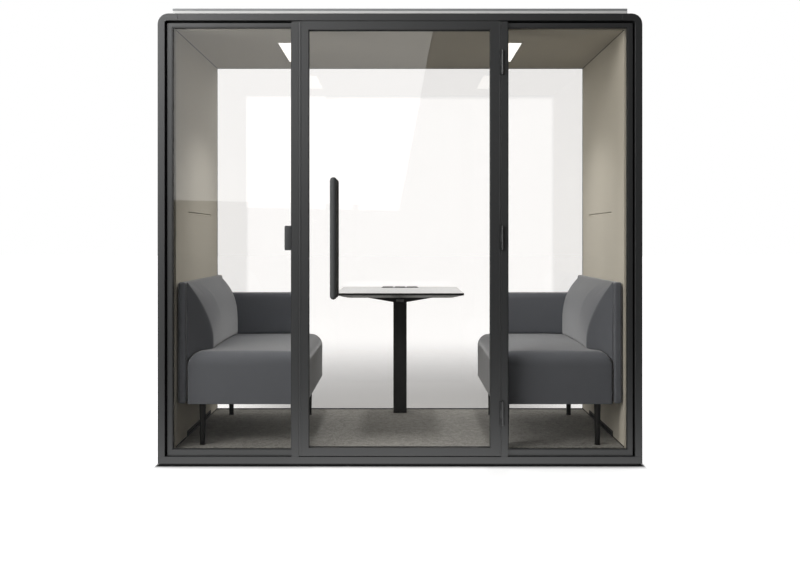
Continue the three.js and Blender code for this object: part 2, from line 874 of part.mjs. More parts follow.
for (const [name, level] of Object.entries(hingeLevels)) {
  piece(`${name}_hinge_jamb_leaf`, hingeJambLeaf(level), powderCoat);
  piece(`${name}_hinge_door_leaf`, hingeDoorLeaf(level), powderCoat);
}

// Rear frame: slim channel all round the rear glass
function rearFrame() {
  const frame = block(
    -liningOuter, liningOuter, rearFrameFront, rearFrameBack, baseTop + fit, roofUnder - fit,
  );
  const opening = block(
    -wallFace, wallFace, rearFrameFront - overrun, rearFrameBack + overrun,
    floorLevel + rearSill, ceilingUnder,
  );
  const bite = rearGlassBite + fit;
  const groove = block(
    -wallFace - bite, wallFace + bite, rearGlassFront - fit, rearGlassFront + rearGlass + fit,
    floorLevel + rearSill - bite, ceilingUnder + bite,
  );
  return cut(frame, opening, groove, ...shellCorners(Object.values(sides)));
}

const rearPaneHalf = wallFace + rearGlassBite;
const rearPane = block(
  -rearPaneHalf, rearPaneHalf, rearGlassFront, rearGlassFront + rearGlass,
  floorLevel + rearSill - rearGlassBite, ceilingUnder + rearGlassBite,
);
piece('rear_frame', rearFrame(), blackCoat);
piece('rear_glass', rearPane, clearGlass);

// Roof plenum: low white wall round the fans, with outlet slots and the inlet's hole at the rear
const plenumHalf = halfWidth - plenumInset;
const plenumFront = frontFace + plenumSetback;
const plenumRear = backFace - plenumSetback;
const plenumFoot = shellTop + fit;
const plenumTop = shellTop + plenumHeight;

function roofPlenum() {
  const wall = block(-plenumHalf, plenumHalf, plenumFront, plenumRear, plenumFoot, plenumTop);
  const inside = block(
    -plenumHalf + plenumWall, plenumHalf - plenumWall, plenumFront + plenumWall, plenumRear - plenumWall,
    plenumFoot - overrun, plenumTop + overrun,
  );
  const inletHole = block(
    powerOffset - inletWidth / 2 - fit, powerOffset + inletWidth / 2 + fit,
    plenumRear - plenumWall - overrun, plenumRear + overrun, shellTop, plenumFoot + inletHeight + fit,
  );
  const slotLow = (plenumFoot + plenumTop - ventSlotHeight) / 2;
  const slots = [];
  for (let index = 0; index < ventSlots; index += 1) {
    const middle = ventSlotCentre + (index - (ventSlots - 1) / 2) * ventSlotPitch;
    slots.push(block(
      middle - ventSlotLength / 2, middle + ventSlotLength / 2,
      plenumRear - plenumWall - overrun, plenumRear + overrun, slotLow, slotLow + ventSlotHeight,
    ));
  }
  return cut(wall, inside, inletHole, ...slots);
}

// Power box: flat driver box on the roof, with its mains inlet through the plenum's rear wall
function powerBox() {
  const boxRear = plenumRear - plenumWall - fit;
  const box = block(
    powerOffset - powerWidth / 2, powerOffset + powerWidth / 2, boxRear - powerDepth, boxRear,
    plenumFoot, plenumFoot + powerHeight,
  );
  const inlet = block(
    powerOffset - inletWidth / 2, powerOffset + inletWidth / 2, boxRear - powerDepth / 2, plenumRear,
    plenumFoot, plenumFoot + inletHeight,
  );
    const mouth = block(
    powerOffset - inletMouth / 2, powerOffset + inletMouth / 2, plenumRear - inletDepth, plenumRear + overrun,
    plenumFoot + inletRim, plenumFoot + inletHeight - inletRim,
  );
  return cut(join(box, inlet), mouth);
}

const lidFoot = plenumTop + fit;
piece('roof_plenum', roofPlenum(), whiteCoat);
piece(
  'plenum_lid',
  block(-plenumHalf, plenumHalf, plenumFront, plenumRear, lidFoot, lidFoot + lidThickness),
  powderCoat,
);
piece('power_box', powerBox(), darkPlastic);

// Fans: two ducts in one tray that hangs in the roof's hole, each with a motor on arms
const fanCentres = { left: -fanPitch / 2, right: fanPitch / 2 };
const ductFoot = shellTop - ductDrop;

// A bar from a fan's axis to its duct, at an angle
function motorArm(x, angle) {
  const arm = new THREE.BoxGeometry(fanRadius + ductWall / 2, armWidth, armHeight);
  arm.translate((fanRadius + ductWall / 2) / 2, 0, 0).rotateZ(angle);
  return arm.translate(x, midDepth, ductFoot + armHeight / 2);
}

function fanTray() {
  const plateHalf = fanPitch / 2 + ductOuter + trayFlange;
  const plateTop = plenumFoot + trayPlate;
  const plate = block(
    -plateHalf, plateHalf, midDepth - ductOuter - trayFlange, midDepth + ductOuter + trayFlange,
    plenumFoot, plateTop,
  );
  const centres = Object.values(fanCentres);
  const ducts = centres.map((x) => upright(ductOuter, x, midDepth, ductFoot, plateTop));
  const bores = centres.map((x) => upright(fanRadius, x, midDepth, ductFoot - overrun, plateTop + overrun));
  const motors = centres.flatMap((x) => {
    const arms = [];
    for (let index = 0; index < motorArms; index += 1) {
      arms.push(motorArm(x, (index * 2 * Math.PI) / motorArms));
    }
    const boss = upright(bossRadius, x, midDepth, ductFoot, ductFoot + bossHeight);
    const shaft = upright(shaftRadius, x, midDepth, ductFoot, ductFoot + bossHeight + hubHeight);
    return [boss, shaft, ...arms];
  });
  return join(cut(join(plate, ...ducts), ...bores), ...motors);
}

// Impeller: hub on the motor's shaft with pitched blades
function impeller(x) {
  const low = ductFoot + bossHeight + fit;
  const hub = upright(hubRadius, x, midDepth, low, low + hubHeight);
  const bladeRoot = hubRadius / 2;
  const bladeTip = fanRadius - tipGap;
  const blades = [];
  for (let index = 0; index < bladeCount; index += 1) {
    const blade = new THREE.BoxGeometry(bladeTip - bladeRoot, bladeChord, bladeThickness);
    blade.rotateX(bladePitch).translate((bladeTip + bladeRoot) / 2, 0, 0);
    blade.rotateZ((index * 2 * Math.PI) / bladeCount);
    blades.push(blade.translate(x, midDepth, low + hubHeight / 2));
  }
  const bore = upright(shaftRadius + fit, x, midDepth, low - overrun, low + hubHeight + overrun);
  return cut(join(hub, ...blades), bore);
}

piece('fan_tray', fanTray(), darkPlastic);
for (const [name, x] of Object.entries(fanCentres)) {
  piece(`${name}_fan_impeller`, impeller(x), darkPlastic);
}

// Table: board with a thin edge and a deep bevel below, on a bracket and a square column
const tableHalf = tableWidth / 2;
const tableBack = rearGlassFront - tableRearGap;
const tableFront = tableBack - tableDepth;
const columnRear = rearGlassFront - columnRearGap;
const columnMiddle = columnRear - columnSide / 2;
const columnTop = tableUnder - fit - bracketDepth - fit;
const socketRear = tableBack - socketSetback;
const socketFront = socketRear - socketSide;
const socketHalf = ((socketCount - 1) * socketPitch + socketSide) / 2;

function tableBoard() {
  const full = roundedPlan(-tableHalf, tableHalf, tableFront, tableBack, tableCorner);
  const under = roundedPlan(
    -tableHalf + tableBevel, tableHalf - tableBevel, tableFront + tableBevel, tableBack, tableCorner,
  );
  const board = loft([under, full, full], [tableUnder, tableTop - tableEdge, tableTop]);
  const pocket = block(
    -socketHalf - socketRim - fit, socketHalf + socketRim + fit, socketFront - socketRim - fit,
    socketRear + socketRim + fit, tableTop - socketRecess - fit, tableTop + overrun,
  );
  return cut(board, pocket);
}

// Table sockets: low blocks in a row on a tray let into the board
function tableSockets() {
  const tray = block(
    -socketHalf - socketRim, socketHalf + socketRim, socketFront - socketRim, socketRear + socketRim,
    tableTop - socketRecess, tableTop,
  );
  const blocks = [];
  for (let index = 0; index < socketCount; index += 1) {
    const middle = (index - (socketCount - 1) / 2) * socketPitch;
    blocks.push(block(
      middle - socketSide / 2, middle + socketSide / 2, socketFront, socketRear,
      tableTop - socketRecess, tableTop + socketRise,
    ));
  }
  return join(tray, ...blocks);
}

// Table bracket: two side arms and a longer front arm, thick at the column and thin at the tips
function tableBracket() {
  const top = tableUnder - fit;
  const low = top - bracketDepth;
  const halfColumn = columnSide / 2;
  const sideArms = drawnBack(
    [
      new THREE.Vector2(-armReach, top), new THREE.Vector2(-armReach, top - bracketTip),
      new THREE.Vector2(-halfColumn, low), new THREE.Vector2(halfColumn, low),
      new THREE.Vector2(armReach, top - bracketTip), new THREE.Vector2(armReach, top),
    ],
    columnMiddle - bracketArm / 2,
    columnMiddle + bracketArm / 2,
  );
  const frontArm = drawnBack(
    [
      new THREE.Vector2(0, top), new THREE.Vector2(0, low), new THREE.Vector2(halfColumn, low),
      new THREE.Vector2(frontArmReach, top - bracketTip), new THREE.Vector2(frontArmReach, top),
    ],
    -bracketArm / 2,
    bracketArm / 2,
  );
  frontArm.rotateZ(-Math.PI / 2).translate(0, columnMiddle, 0);
  const head = block(
    -halfColumn, halfColumn, columnMiddle - halfColumn, columnMiddle + halfColumn, low, top,
  );
  return join(sideArms, frontArm, head);
}

// Table column: square tube that stands on the floor
function tableColumn() {
  const half = columnSide / 2;
  const bore = half - columnWall;
  const low = floorLevel + fit;
  const tube = block(-half, half, columnMiddle - half, columnMiddle + half, low, columnTop);
  return cut(tube, block(
    -bore, bore, columnMiddle - bore, columnMiddle + bore, low - overrun, columnTop + overrun,
  ));
}

piece('table_top', tableBoard(), laminate);
piece('table_sockets', tableSockets(), darkPlastic);
piece('table_bracket', tableBracket(), blackCoat);
piece('table_column', tableColumn(), blackCoat);

// Benches: drawn as distances from the wall's face, for either wall
const benchNear = frameRear + benchFrontGap;
const benchFar = cabinRear - benchRearGap;
const armFront = benchFar - armThickness;
const shellPadFace = benchWallGap + shellPad;
const seatBack = shellPadFace + fit;
const seatNose = seatBack + seatDepth;
const benchUnder = floorLevel + seatUnder;
const seatTop = floorLevel + seatHeight;

// Drop of a rounded edge, at a distance in from the side
function edgeDrop(inset) {
  const run = Math.max(seatRound - inset, 0);
  return seatRound - Math.sqrt(Math.max(seatRound ** 2 - run ** 2, 0));
}

// Seat: rounded along its top edges and crowned, its sides drawn in between the corners
function seatForm(point, half) {
  const across = 1 - (point.x / half.x) ** 2;
  const along = 1 - (point.y / half.y) ** 2;
  const rise = (point.z + half.z) / (2 * half.z);
  const edges = Math.hypot(edgeDrop(half.x - Math.abs(point.x)), edgeDrop(half.y - Math.abs(point.y)));
  const drop = Math.min(edges, seatRound) + seatCrown * (1 - across * along);
  point.z -= rise * drop;
  point.x *= 1 - (seatDraw * along) / half.x;
  point.y *= 1 - (seatDraw * across) / half.y;
}

// Back cushion: thick at the seat, falling in a curve to a thin top edge, with a slanted near end
function backForm(point, half) {
  const share = (point.x + half.x) / (2 * half.x);
  const along = (point.y + half.y) / (2 * half.y);
  const fromSeat = (point.z + half.z - seatRound) / (2 * half.z - seatRound);
  const rise = Math.min(Math.max(fromSeat, 0), 1);
  const crown = backCrown * (4 * along * (1 - along) - 1);
  const thickness = backTop + (backBase - backTop + crown) * (1 - rise ** backFall);
  point.x = share * thickness - half.x;
  point.y += backSlant * share * thickness * (1 - along);
}

// Rear arm: padded panel with a soft crown on both faces
function armForm(point, half) {
  const across = 1 - (point.x / half.x) ** 2;
  const up = 1 - (point.z / half.z) ** 2;
  const bulge = armCrown * (across * up - 1);
  point.y *= 1 + bulge / half.y;
}

// Boards of the bench, grown by a clearance: the deck, and the flange along its back
function benchBoards(grow) {
  const near = benchNear + benchDeckInset - grow;
  const far = benchFar - benchDeckInset + grow;
  const low = benchUnder - grow;
  const high = benchUnder + benchDeck + grow;
  const deck = block(seatBack - grow, seatNose - benchDeckInset + grow, near, far, low, high);
  const flange = block(
    seatBack - grow, seatBack + backFlange + grow, near, far, low, high + backFlangeHeight,
  );
  return join(deck, flange);
}

// The seat's outer form, grown by a clearance
function seatBody(grow) {
  const low = new THREE.Vector3(seatBack - grow, benchNear - grow, benchUnder - seatRadius);
  const high = new THREE.Vector3(seatNose + grow, benchFar + grow, seatTop + grow);
  return pillow(low, high, seatRadius, seatSteps, seatForm);
}

// Seat cushion: cut level at its foot, with its underside let in over the boards
function seatCushion() {
  const below = block(
    seatBack - overrun, seatNose + overrun, benchNear - overrun, benchFar + overrun,
    benchUnder - 2 * seatRadius, benchUnder,
  );
  return cut(seatBody(0), below, benchBoards(fit));
}

// The back cushion's foot follows the rounded edge of the seat
function backCushion() {
  const low = new THREE.Vector3(seatBack, benchNear + backNearGap, seatTop - seatRound);
  const high = new THREE.Vector3(seatBack + backBase, armFront - fit, floorLevel + backHeight);
  return cut(pillow(low, high, backRadius, backSteps, backForm), seatBody(slip));
}

function backPad() {
  const low = new THREE.Vector3(benchWallGap, benchNear, benchUnder);
  const high = new THREE.Vector3(shellPadFace, benchFar, floorLevel + shellPadHeight);
  return pillow(low, high, shellPadRadius, shellPadSteps, plainForm);
}

// The rear arm stands on the seat's far end
function rearArm() {
  const low = new THREE.Vector3(seatBack, armFront, seatTop - seatRound);
  const high = new THREE.Vector3(seatBack + armLength, benchFar, floorLevel + armTop);
  return cut(pillow(low, high, armRadius, armSteps, armForm), seatBody(slip));
}

// Bench frame: flat boards on four round legs with glides
function benchFrame() {
  const foot = floorLevel + fit;
  const across = [shellPadFace + legFromBack, seatNose - legFromNose];
  const along = [benchNear + legFromNear, benchFar - legFromFar];
  const legs = across.flatMap((x) => along.flatMap((y) => [
    upright(legTopRadius, x, y, foot, benchUnder + benchDeck / 2, legFootRadius),
    upright(glideRadius, x, y, foot, foot + glideHeight),
  ]));
  return join(benchBoards(0), ...legs);
}

for (const [name, side] of Object.entries(sides)) {
  piece(`${name}_bench_frame`, atWall(benchFrame(), side), blackCoat);
  piece(`${name}_seat_cushion`, atWall(seatCushion(), side), upholstery);
  piece(`${name}_back_cushion`, atWall(backCushion(), side), upholstery);
  piece(`${name}_back_shell`, atWall(backPad(), side), upholstery);
  piece(`${name}_rear_arm`, atWall(rearArm(), side), upholstery);
}

export default pod;
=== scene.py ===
import json
import math

import bmesh
import bpy
from mathutils import Matrix, Vector


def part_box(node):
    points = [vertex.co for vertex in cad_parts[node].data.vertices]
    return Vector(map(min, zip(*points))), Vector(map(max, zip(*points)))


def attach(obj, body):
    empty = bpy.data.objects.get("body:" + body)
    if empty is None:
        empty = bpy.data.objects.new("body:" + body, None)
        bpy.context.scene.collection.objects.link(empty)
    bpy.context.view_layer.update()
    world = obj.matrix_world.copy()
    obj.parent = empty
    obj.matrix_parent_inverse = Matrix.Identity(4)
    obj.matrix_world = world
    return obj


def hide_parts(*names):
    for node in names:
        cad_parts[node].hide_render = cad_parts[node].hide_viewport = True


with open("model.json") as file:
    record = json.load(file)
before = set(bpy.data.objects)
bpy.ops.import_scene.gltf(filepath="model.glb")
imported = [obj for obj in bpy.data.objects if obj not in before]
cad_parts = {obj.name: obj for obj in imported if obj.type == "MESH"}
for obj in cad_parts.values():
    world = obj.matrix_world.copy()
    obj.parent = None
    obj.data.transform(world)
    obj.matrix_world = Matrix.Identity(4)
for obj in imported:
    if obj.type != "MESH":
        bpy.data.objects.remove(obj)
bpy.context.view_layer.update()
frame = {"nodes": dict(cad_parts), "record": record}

# Camera
# A studio camera stands square to the front, level, at chest height and about five metres off.
# Its horizon lies above the middle of the picture, so the lens is shifted and uprights stay upright.
picture_width = 800
picture_height = 562
horizon_row = 239
focal_pixels = 985
camera_height = 1.124
camera_stand_off = 4.875

front_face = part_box("door_frame")[0].y
camera = bpy.data.objects.new("camera", bpy.data.cameras.new("camera"))
camera.location = (0, front_face - camera_stand_off, camera_height)
camera.rotation_euler = (math.radians(90), 0, 0)
camera.data.lens = camera.data.sensor_width * focal_pixels / picture_width
camera.data.shift_y = (horizon_row - picture_height / 2) / picture_width
bpy.context.scene.collection.objects.link(camera)
bpy.context.scene.camera = camera
bpy.context.scene.view_settings.view_transform = "Standard"


# Studio
# A white seamless floor runs out to white. Four softboxes stand on the left in front: a wide one, a
# bright one above it, one further round and a low one. The room is lighter behind the object.
def linear(hex_colour):
    """Linear RGBA of an sRGB hex colour."""
    channels = [int(hex_colour[start:start + 2], 16) / 255 for start in (1, 3, 5)]
    return [*(c / 12.92 if c <= 0.04045 else ((c + 0.055) / 1.055) ** 2.4 for c in channels), 1.0]


def add_node(tree, kind, inputs=None, **settings):
    """Add one node; inputs maps a socket's name or number to its value or to the socket that feeds it."""
    node = tree.nodes.new(kind)
    for name, value in settings.items():
        setattr(node, name, value)
    for name, value in (inputs or {}).items():
        if isinstance(value, bpy.types.NodeSocket):
            tree.links.new(value, node.inputs[name])
        else:
            node.inputs[name].default_value = value
    return node


room_before = 0.05
room_behind = 1.0
rise_share = 0.6
full_behind = 0.7
world = bpy.data.worlds.new("studio")
bpy.context.scene.world = world
world.use_nodes = True
tree = world.node_tree
tree.nodes.clear()
heading = add_node(tree, "ShaderNodeTexCoord").outputs["Generated"]
towards = add_node(tree, "ShaderNodeSeparateXYZ", {"Vector": heading}).outputs
lifted = add_node(tree, "ShaderNodeMath", {
    0: towards["Z"], 1: rise_share, 2: towards["Y"]}, operation="MULTIPLY_ADD").outputs[0]
level = add_node(tree, "ShaderNodeMapRange", {
    "Value": lifted, "From Min": 0.0, "From Max": full_behind,
    "To Min": room_before, "To Max": room_behind}, interpolation_type="SMOOTHSTEP").outputs["Result"]
room = add_node(tree, "ShaderNodeBackground", {"Color": linear("#ffffff"), "Strength": level})


def shown_directly(tree, ray):
    """1 for a ray straight from the camera or through glass, 0 once it has been mirrored or scattered."""
    unmirrored = add_node(tree, "ShaderNodeMath", {
        0: ray["Glossy Depth"], 1: 0.5}, operation="LESS_THAN").outputs[0]
    through = add_node(tree, "ShaderNodeMath", {
        0: ray["Is Transmission Ray"], 1: unmirrored}, operation="MULTIPLY").outputs[0]
    return add_node(tree, "ShaderNodeMath", {
        0: ray["Is Camera Ray"], 1: through}, operation="MAXIMUM").outputs[0]


# A bright panel stands square behind the object: its light makes up for what two panes take away.
# Its sizes are slopes, sideways and upward, from straight behind.
panel_half_width = 0.157
panel_top = 0.145
panel_edge = 0.004
panel_gain = 0.2
ray = add_node(tree, "ShaderNodeLightPath").outputs
panel = ray["Is Transmission Ray"]
for axis, reach in (("X", panel_half_width), ("Z", panel_top)):
    slope = add_node(tree, "ShaderNodeMath", {
        0: towards[axis], 1: towards["Y"]}, operation="DIVIDE").outputs[0]
    off_middle = add_node(tree, "ShaderNodeMath", {0: slope}, operation="ABSOLUTE").outputs[0]
    within = add_node(tree, "ShaderNodeMapRange", {
        "Value": off_middle, "From Min": reach - panel_edge, "From Max": reach,
        "To Min": 1.0, "To Max": 0.0}).outputs["Result"]
    panel = add_node(tree, "ShaderNodeMath", {0: panel, 1: within}, operation="MULTIPLY").outputs[0]
backdrop = add_node(tree, "ShaderNodeMath", {
    0: panel, 1: panel_gain, 2: 1.0}, operation="MULTIPLY_ADD").outputs[0]
white = add_node(tree, "ShaderNodeBackground", {"Color": linear("#ffffff"), "Strength": backdrop})
view = add_node(tree, "ShaderNodeMixShader", {
    0: shown_directly(tree, ray), 1: room.outputs[0], 2: white.outputs[0]})
add_node(tree, "ShaderNodeOutputWorld", {"Surface": view.outputs[0]})
aim_height = 1.3


def softbox(name, width, height, distance, turn, rise, radiance):
    """A flat lamp that faces the front of the object, turned to the left and raised by these degrees."""
    aim = Vector((0, front_face, aim_height))
    turn = math.radians(turn)
    rise = math.radians(rise)
    outward = Vector((
        -math.sin(turn) * math.cos(rise), -math.cos(turn) * math.cos(rise), math.sin(rise)))
    lamp = bpy.data.objects.new(name, bpy.data.lights.new(name, "AREA"))
    lamp.data.shape = "RECTANGLE"
    lamp.data.size = width
    lamp.data.size_y = height
    lamp.data.energy = radiance * math.pi * width * height
    lamp.location = aim + outward * distance
    lamp.rotation_euler = outward.to_track_quat("Z", "Y").to_euler()
    lamp.visible_camera = False
    bpy.context.scene.collection.objects.link(lamp)


softbox("wide_softbox", width=8.0, height=3.3, distance=5.5, turn=35, rise=19, radiance=1.15)
softbox("bright_softbox", width=2.0, height=2.0, distance=5.4, turn=40, rise=32, radiance=5.5)
softbox("side_softbox", width=3.0, height=3.0, distance=5.5, turn=62, rise=14, radiance=3.0)
softbox("low_softbox", width=2.5, height=0.9, distance=5.5, turn=60, rise=-8, radiance=5.0)

mm = 0.001
floor_reach = 60
floor_mesh = bpy.data.meshes.new("studio_floor")
floor_mesh.from_pydata(
    [(x * floor_reach, y * floor_reach, 0) for x, y in ((-1, -1), (1, -1), (1, 1), (-1, 1))],
    [], [(0, 1, 2, 3)])
studio_floor = bpy.data.objects.new("studio_floor", floor_mesh)
bpy.context.scene.collection.objects.link(studio_floor)
# Seamless paper, matt: plain white to the eye where nothing stands near, and grey in the shadow, which is
# partly lit and partly painted.
paper = bpy.data.materials.new("seamless_paper")
paper.use_nodes = True
tree = paper.node_tree
tree.nodes.clear()
ray = add_node(tree, "ShaderNodeLightPath").outputs
shown = shown_directly(tree, ray)
place = add_node(tree, "ShaderNodeTexCoord").outputs["Object"]
floor_axes = add_node(tree, "ShaderNodeSeparateXYZ", {"Vector": place}).outputs
backward = floor_axes["Y"]
sideways = add_node(tree, "ShaderNodeMath", {0: floor_axes["X"]}, operation="ABSOLUTE").outputs[0]
from_camera = add_node(tree, "ShaderNodeMath", {
    0: backward, 1: camera_stand_off - front_face}).outputs[0]
bearing = add_node(tree, "ShaderNodeMath", {0: sideways, 1: from_camera}, operation="DIVIDE").outputs[0]

# A painted shadow lies close round the base and runs out behind it: the glow is held back there. Each
# ramp rises softly from 0 to 1 between two places on the floor, or between two slopes to the side of the
# camera's line of sight.
front_fade = 75 * mm
front_run = 100 * mm
contact = 20 * mm
lee_start = 0.8
lee_end = 5.9
side_start = 0.08
side_end = 0.24
base_low, base_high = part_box("base_frame")
ramps = {}
for label, value, start, end in (
        ("in_front", backward, base_low.y, base_low.y - front_fade),
        ("far_behind", backward, lee_start, lee_end),
        ("past_front", backward, base_low.y, base_low.y + front_run),
        ("past_side", sideways, base_high.x, base_high.x + contact),
        ("to_the_side", bearing, side_start, side_end),
        ("clear_in_front", backward, base_low.y, base_low.y - contact),
        ("clear_behind", backward, base_high.y, base_high.y + contact)):
    ramps[label] = add_node(tree, "ShaderNodeMapRange", {
        "Value": value, "From Min": start, "From Max": end},
        interpolation_type="SMOOTHSTEP").outputs["Result"]
off_front = add_node(tree, "ShaderNodeMath", {
    0: ramps["past_front"], 1: ramps["past_side"]}, operation="MAXIMUM").outputs[0]
beside = add_node(tree, "ShaderNodeMath", {
    0: ramps["to_the_side"], 1: off_front}, operation="MULTIPLY").outputs[0]
before_or_behind = add_node(tree, "ShaderNodeMath", {
    0: ramps["in_front"], 1: ramps["far_behind"]}, operation="MAXIMUM").outputs[0]
clear_lengthwise = add_node(tree, "ShaderNodeMath", {
    0: ramps["clear_in_front"], 1: ramps["clear_behind"]}, operation="MAXIMUM").outputs[0]
clear_of_base = add_node(tree, "ShaderNodeMath", {
    0: clear_lengthwise, 1: ramps["past_side"]}, operation="MAXIMUM").outputs[0]

# What the camera sees of the open floor glows up to white, most of all at the sides and before the
# bright panel.
side_gain = 1.4
floor_glow = 0.6
bright_beside = add_node(tree, "ShaderNodeMath", {
    0: beside, 1: side_gain}, operation="MULTIPLY").outputs[0]
open_floor = add_node(tree, "ShaderNodeMath", {
    0: before_or_behind, 1: bright_beside}, operation="MAXIMUM").outputs[0]
before_panel = add_node(tree, "ShaderNodeMapRange", {
    "Value": bearing, "From Min": panel_half_width - panel_edge, "From Max": panel_half_width,
    "To Min": panel_gain, "To Max": 0.0}).outputs["Result"]
floor_gain = add_node(tree, "ShaderNodeMath", {
    0: before_panel, 1: ramps["far_behind"], 2: floor_glow}, operation="MULTIPLY_ADD").outputs[0]
lit_glow = add_node(tree, "ShaderNodeMath", {
    0: open_floor, 1: floor_gain}, operation="MULTIPLY").outputs[0]
# No glow at all close round the base: painted shadow.
open_glow = add_node(tree, "ShaderNodeMath", {
    0: lit_glow, 1: clear_of_base}, operation="MULTIPLY").outputs[0]

# A soft pool of light round the object shows only in blurred mirror images of the floor.
pool_half_width = 3.2
pool_half_depth = 2.4
pool_glow = 2.1
around = add_node(tree, "ShaderNodeMapping", {
    "Vector": place, "Scale": (1 / pool_half_width, 1 / pool_half_depth, 1)})
near = add_node(tree, "ShaderNodeTexGradient", {"Vector": around.outputs[0]}, gradient_type="SPHERICAL")
softly = add_node(tree, "ShaderNodeMath", {
    0: ray["Is Glossy Ray"], 1: ray["Is Singular Ray"]}, operation="SUBTRACT").outputs[0]
near_glow = add_node(tree, "ShaderNodeMath", {
    0: near.outputs["Fac"], 1: pool_glow}, operation="MULTIPLY").outputs[0]
mirrored_glow = add_node(tree, "ShaderNodeMath", {
    0: near_glow, 1: softly}, operation="MULTIPLY").outputs[0]
glow = add_node(tree, "ShaderNodeMix", {
    0: shown, 2: mirrored_glow, 3: open_glow}, data_type="FLOAT").outputs[0]

# Under the base the paper's colour is painted dark, as painted shade, and it is greyer in mirror images
# and for scattered light than to the eye.
open_sheet = add_node(tree, "ShaderNodeMix", {
    0: clear_of_base, 6: linear("#303030"), 7: linear("#d8d8d8")}, data_type="RGBA").outputs[2]
unseen_sheet = add_node(tree, "ShaderNodeMix", {
    0: ray["Is Singular Ray"], 6: linear("#666666"), 7: linear("#484848")}, data_type="RGBA").outputs[2]
sheet = add_node(tree, "ShaderNodeMix", {
    0: shown, 6: unseen_sheet, 7: open_sheet}, data_type="RGBA").outputs[2]
lit = add_node(tree, "ShaderNodeBsdfDiffuse", {"Color": sheet})
glowing = add_node(tree, "ShaderNodeEmission", {"Color": linear("#ffffff"), "Strength": glow})
both = add_node(tree, "ShaderNodeAddShader", {0: lit.outputs[0], 1: glowing.outputs[0]})
add_node(tree, "ShaderNodeOutputMaterial", {"Surface": both.outputs[0]})
floor_mesh.materials.append(paper)


# Base frame and feet
# A folded steel tray carries the cabin; its sides are powder coated in a fine dark texture that
# still has a satin shine. Four levelling feet with rubber soles are screwed into it from below.
def new_finish(name):
    """A material with one Principled surface: the material, its node tree and its shader."""
    finish = bpy.data.materials.new(name)
    finish.use_nodes = True
    finish.node_tree.nodes.clear()
    shader = add_node(finish.node_tree, "ShaderNodeBsdfPrincipled")
    add_node(finish.node_tree, "ShaderNodeOutputMaterial", {"Surface": shader.outputs[0]})
    return finish, finish.node_tree, shader


def set_inputs(tree, node, **inputs):
    """Set or link a node's sockets, with underscores for the spaces in their names."""
    for name, value in inputs.items():
        socket = node.inputs[name.replace("_", " ")]
        if isinstance(value, bpy.types.NodeSocket):
            tree.links.new(value, socket)
        else:
            socket.default_value = value


patch_size = 120 * mm
gloss_spread = 0.05
powder_grit = 1.2 * mm
powder_relief = 0.05 * mm


def mottled_coat(name, dark, light, rough, specular=0.5, grain=powder_grit, depth=powder_relief):
    """A plain skin: two close shades in soft patches, and a fine grit in the relief.

    A grit finer than about 1 mm is drawn at 1 mm or a little over, so that it shows.
    """
    finish, tree, shader = new_finish(name)
    place = add_node(tree, "ShaderNodeTexCoord").outputs["Object"]
    patches = add_node(tree, "ShaderNodeTexNoise", {
        "Vector": place, "Scale": 1 / patch_size, "Detail": 3.0})
    shade = add_node(tree, "ShaderNodeMix", {
        0: patches.outputs["Fac"], 6: linear(dark), 7: linear(light)}, data_type="RGBA")
    grit = add_node(tree, "ShaderNodeTexNoise", {"Vector": place, "Scale": 1 / grain, "Detail": 2.0})
    gloss = add_node(tree, "ShaderNodeMapRange", {
        "Value": grit.outputs["Fac"], "To Min": rough - gloss_spread, "To Max": rough + gloss_spread})
    relief = add_node(tree, "ShaderNodeBump", {
        "Height": grit.outputs["Fac"], "Strength": 0.5, "Distance": depth})
    set_inputs(tree, shader, Base_Color=shade.outputs[2], Roughness=gloss.outputs[0],
               Normal=relief.outputs[0], Specular_IOR_Level=specular)
    return finish


# Fine-texture polyester powder: near black in the shade, silvery where it mirrors a lamp. Its grit
# is about 0.4 mm across, drawn three times as coarse so that it shows.
powder_coat = mottled_coat("textured_powder_coat", "#232425", "#282929", rough=0.44, specular=1.0)
# Matt black powder, darker and duller than on the frames.
black_coat = mottled_coat("matt_black_powder", "#090909", "#0d0d0d", rough=0.5, specular=0.2)


def new_tree(name, **inputs):
    """An empty geometry tree with these named inputs: the tree and its input sockets by name."""
    group = bpy.data.node_groups.new(name, "GeometryNodeTree")
    group.interface.new_socket("Geometry", in_out="INPUT", socket_type="NodeSocketGeometry")
    group.interface.new_socket("Geometry", in_out="OUTPUT", socket_type="NodeSocketGeometry")
    for label, kind in inputs.items():
        group.interface.new_socket(label, in_out="INPUT", socket_type=f"NodeSocket{kind}")
    return group, add_node(group, "NodeGroupInput").outputs


join_distance = 0.02 * mm


def smoothing_tree():
    """Joins a solid's loose triangles and lets its shallow edges shade smoothly."""
    group, given = new_tree("joined_and_smooth")
    joined = add_node(group, "GeometryNodeMergeByDistance", {
        "Geometry": given["Geometry"], "Distance": join_distance})
    plain = add_node(group, "GeometryNodeRemoveAttribute", {
        "Geometry": joined.outputs[0], "Name": "custom_normal"})
    smooth = add_node(group, "GeometryNodeSetShadeSmooth", {
        "Geometry": plain.outputs[0], "Shade Smooth": True})
    add_node(group, "NodeGroupOutput", {0: smooth.outputs[0]})
    return group


joined_and_smooth = smoothing_tree()
flat_angle = math.radians(1)
edge_angle = math.radians(35)
edge_segments = 2


def finish_node(name, material, edge=0.8 * mm):
    """Give a solid its material, and the eased edges that catch the light on the real piece."""
    piece = frame["nodes"][name]
    piece.data.materials.clear()
    piece.data.materials.append(material)
    piece.modifiers.new("joined_and_smooth", "NODES").node_group = joined_and_smooth
    flat = piece.modifiers.new("flat_faces", "DECIMATE")
    flat.decimate_type = "DISSOLVE"
    flat.angle_limit = flat_angle
    bevel = piece.modifiers.new("eased_edges", "BEVEL")
    bevel.width = edge
    bevel.segments = edge_segments
    bevel.limit_method = "ANGLE"
    bevel.angle_limit = edge_angle
    bevel.harden_normals = True


finish_node("base_frame", powder_coat)
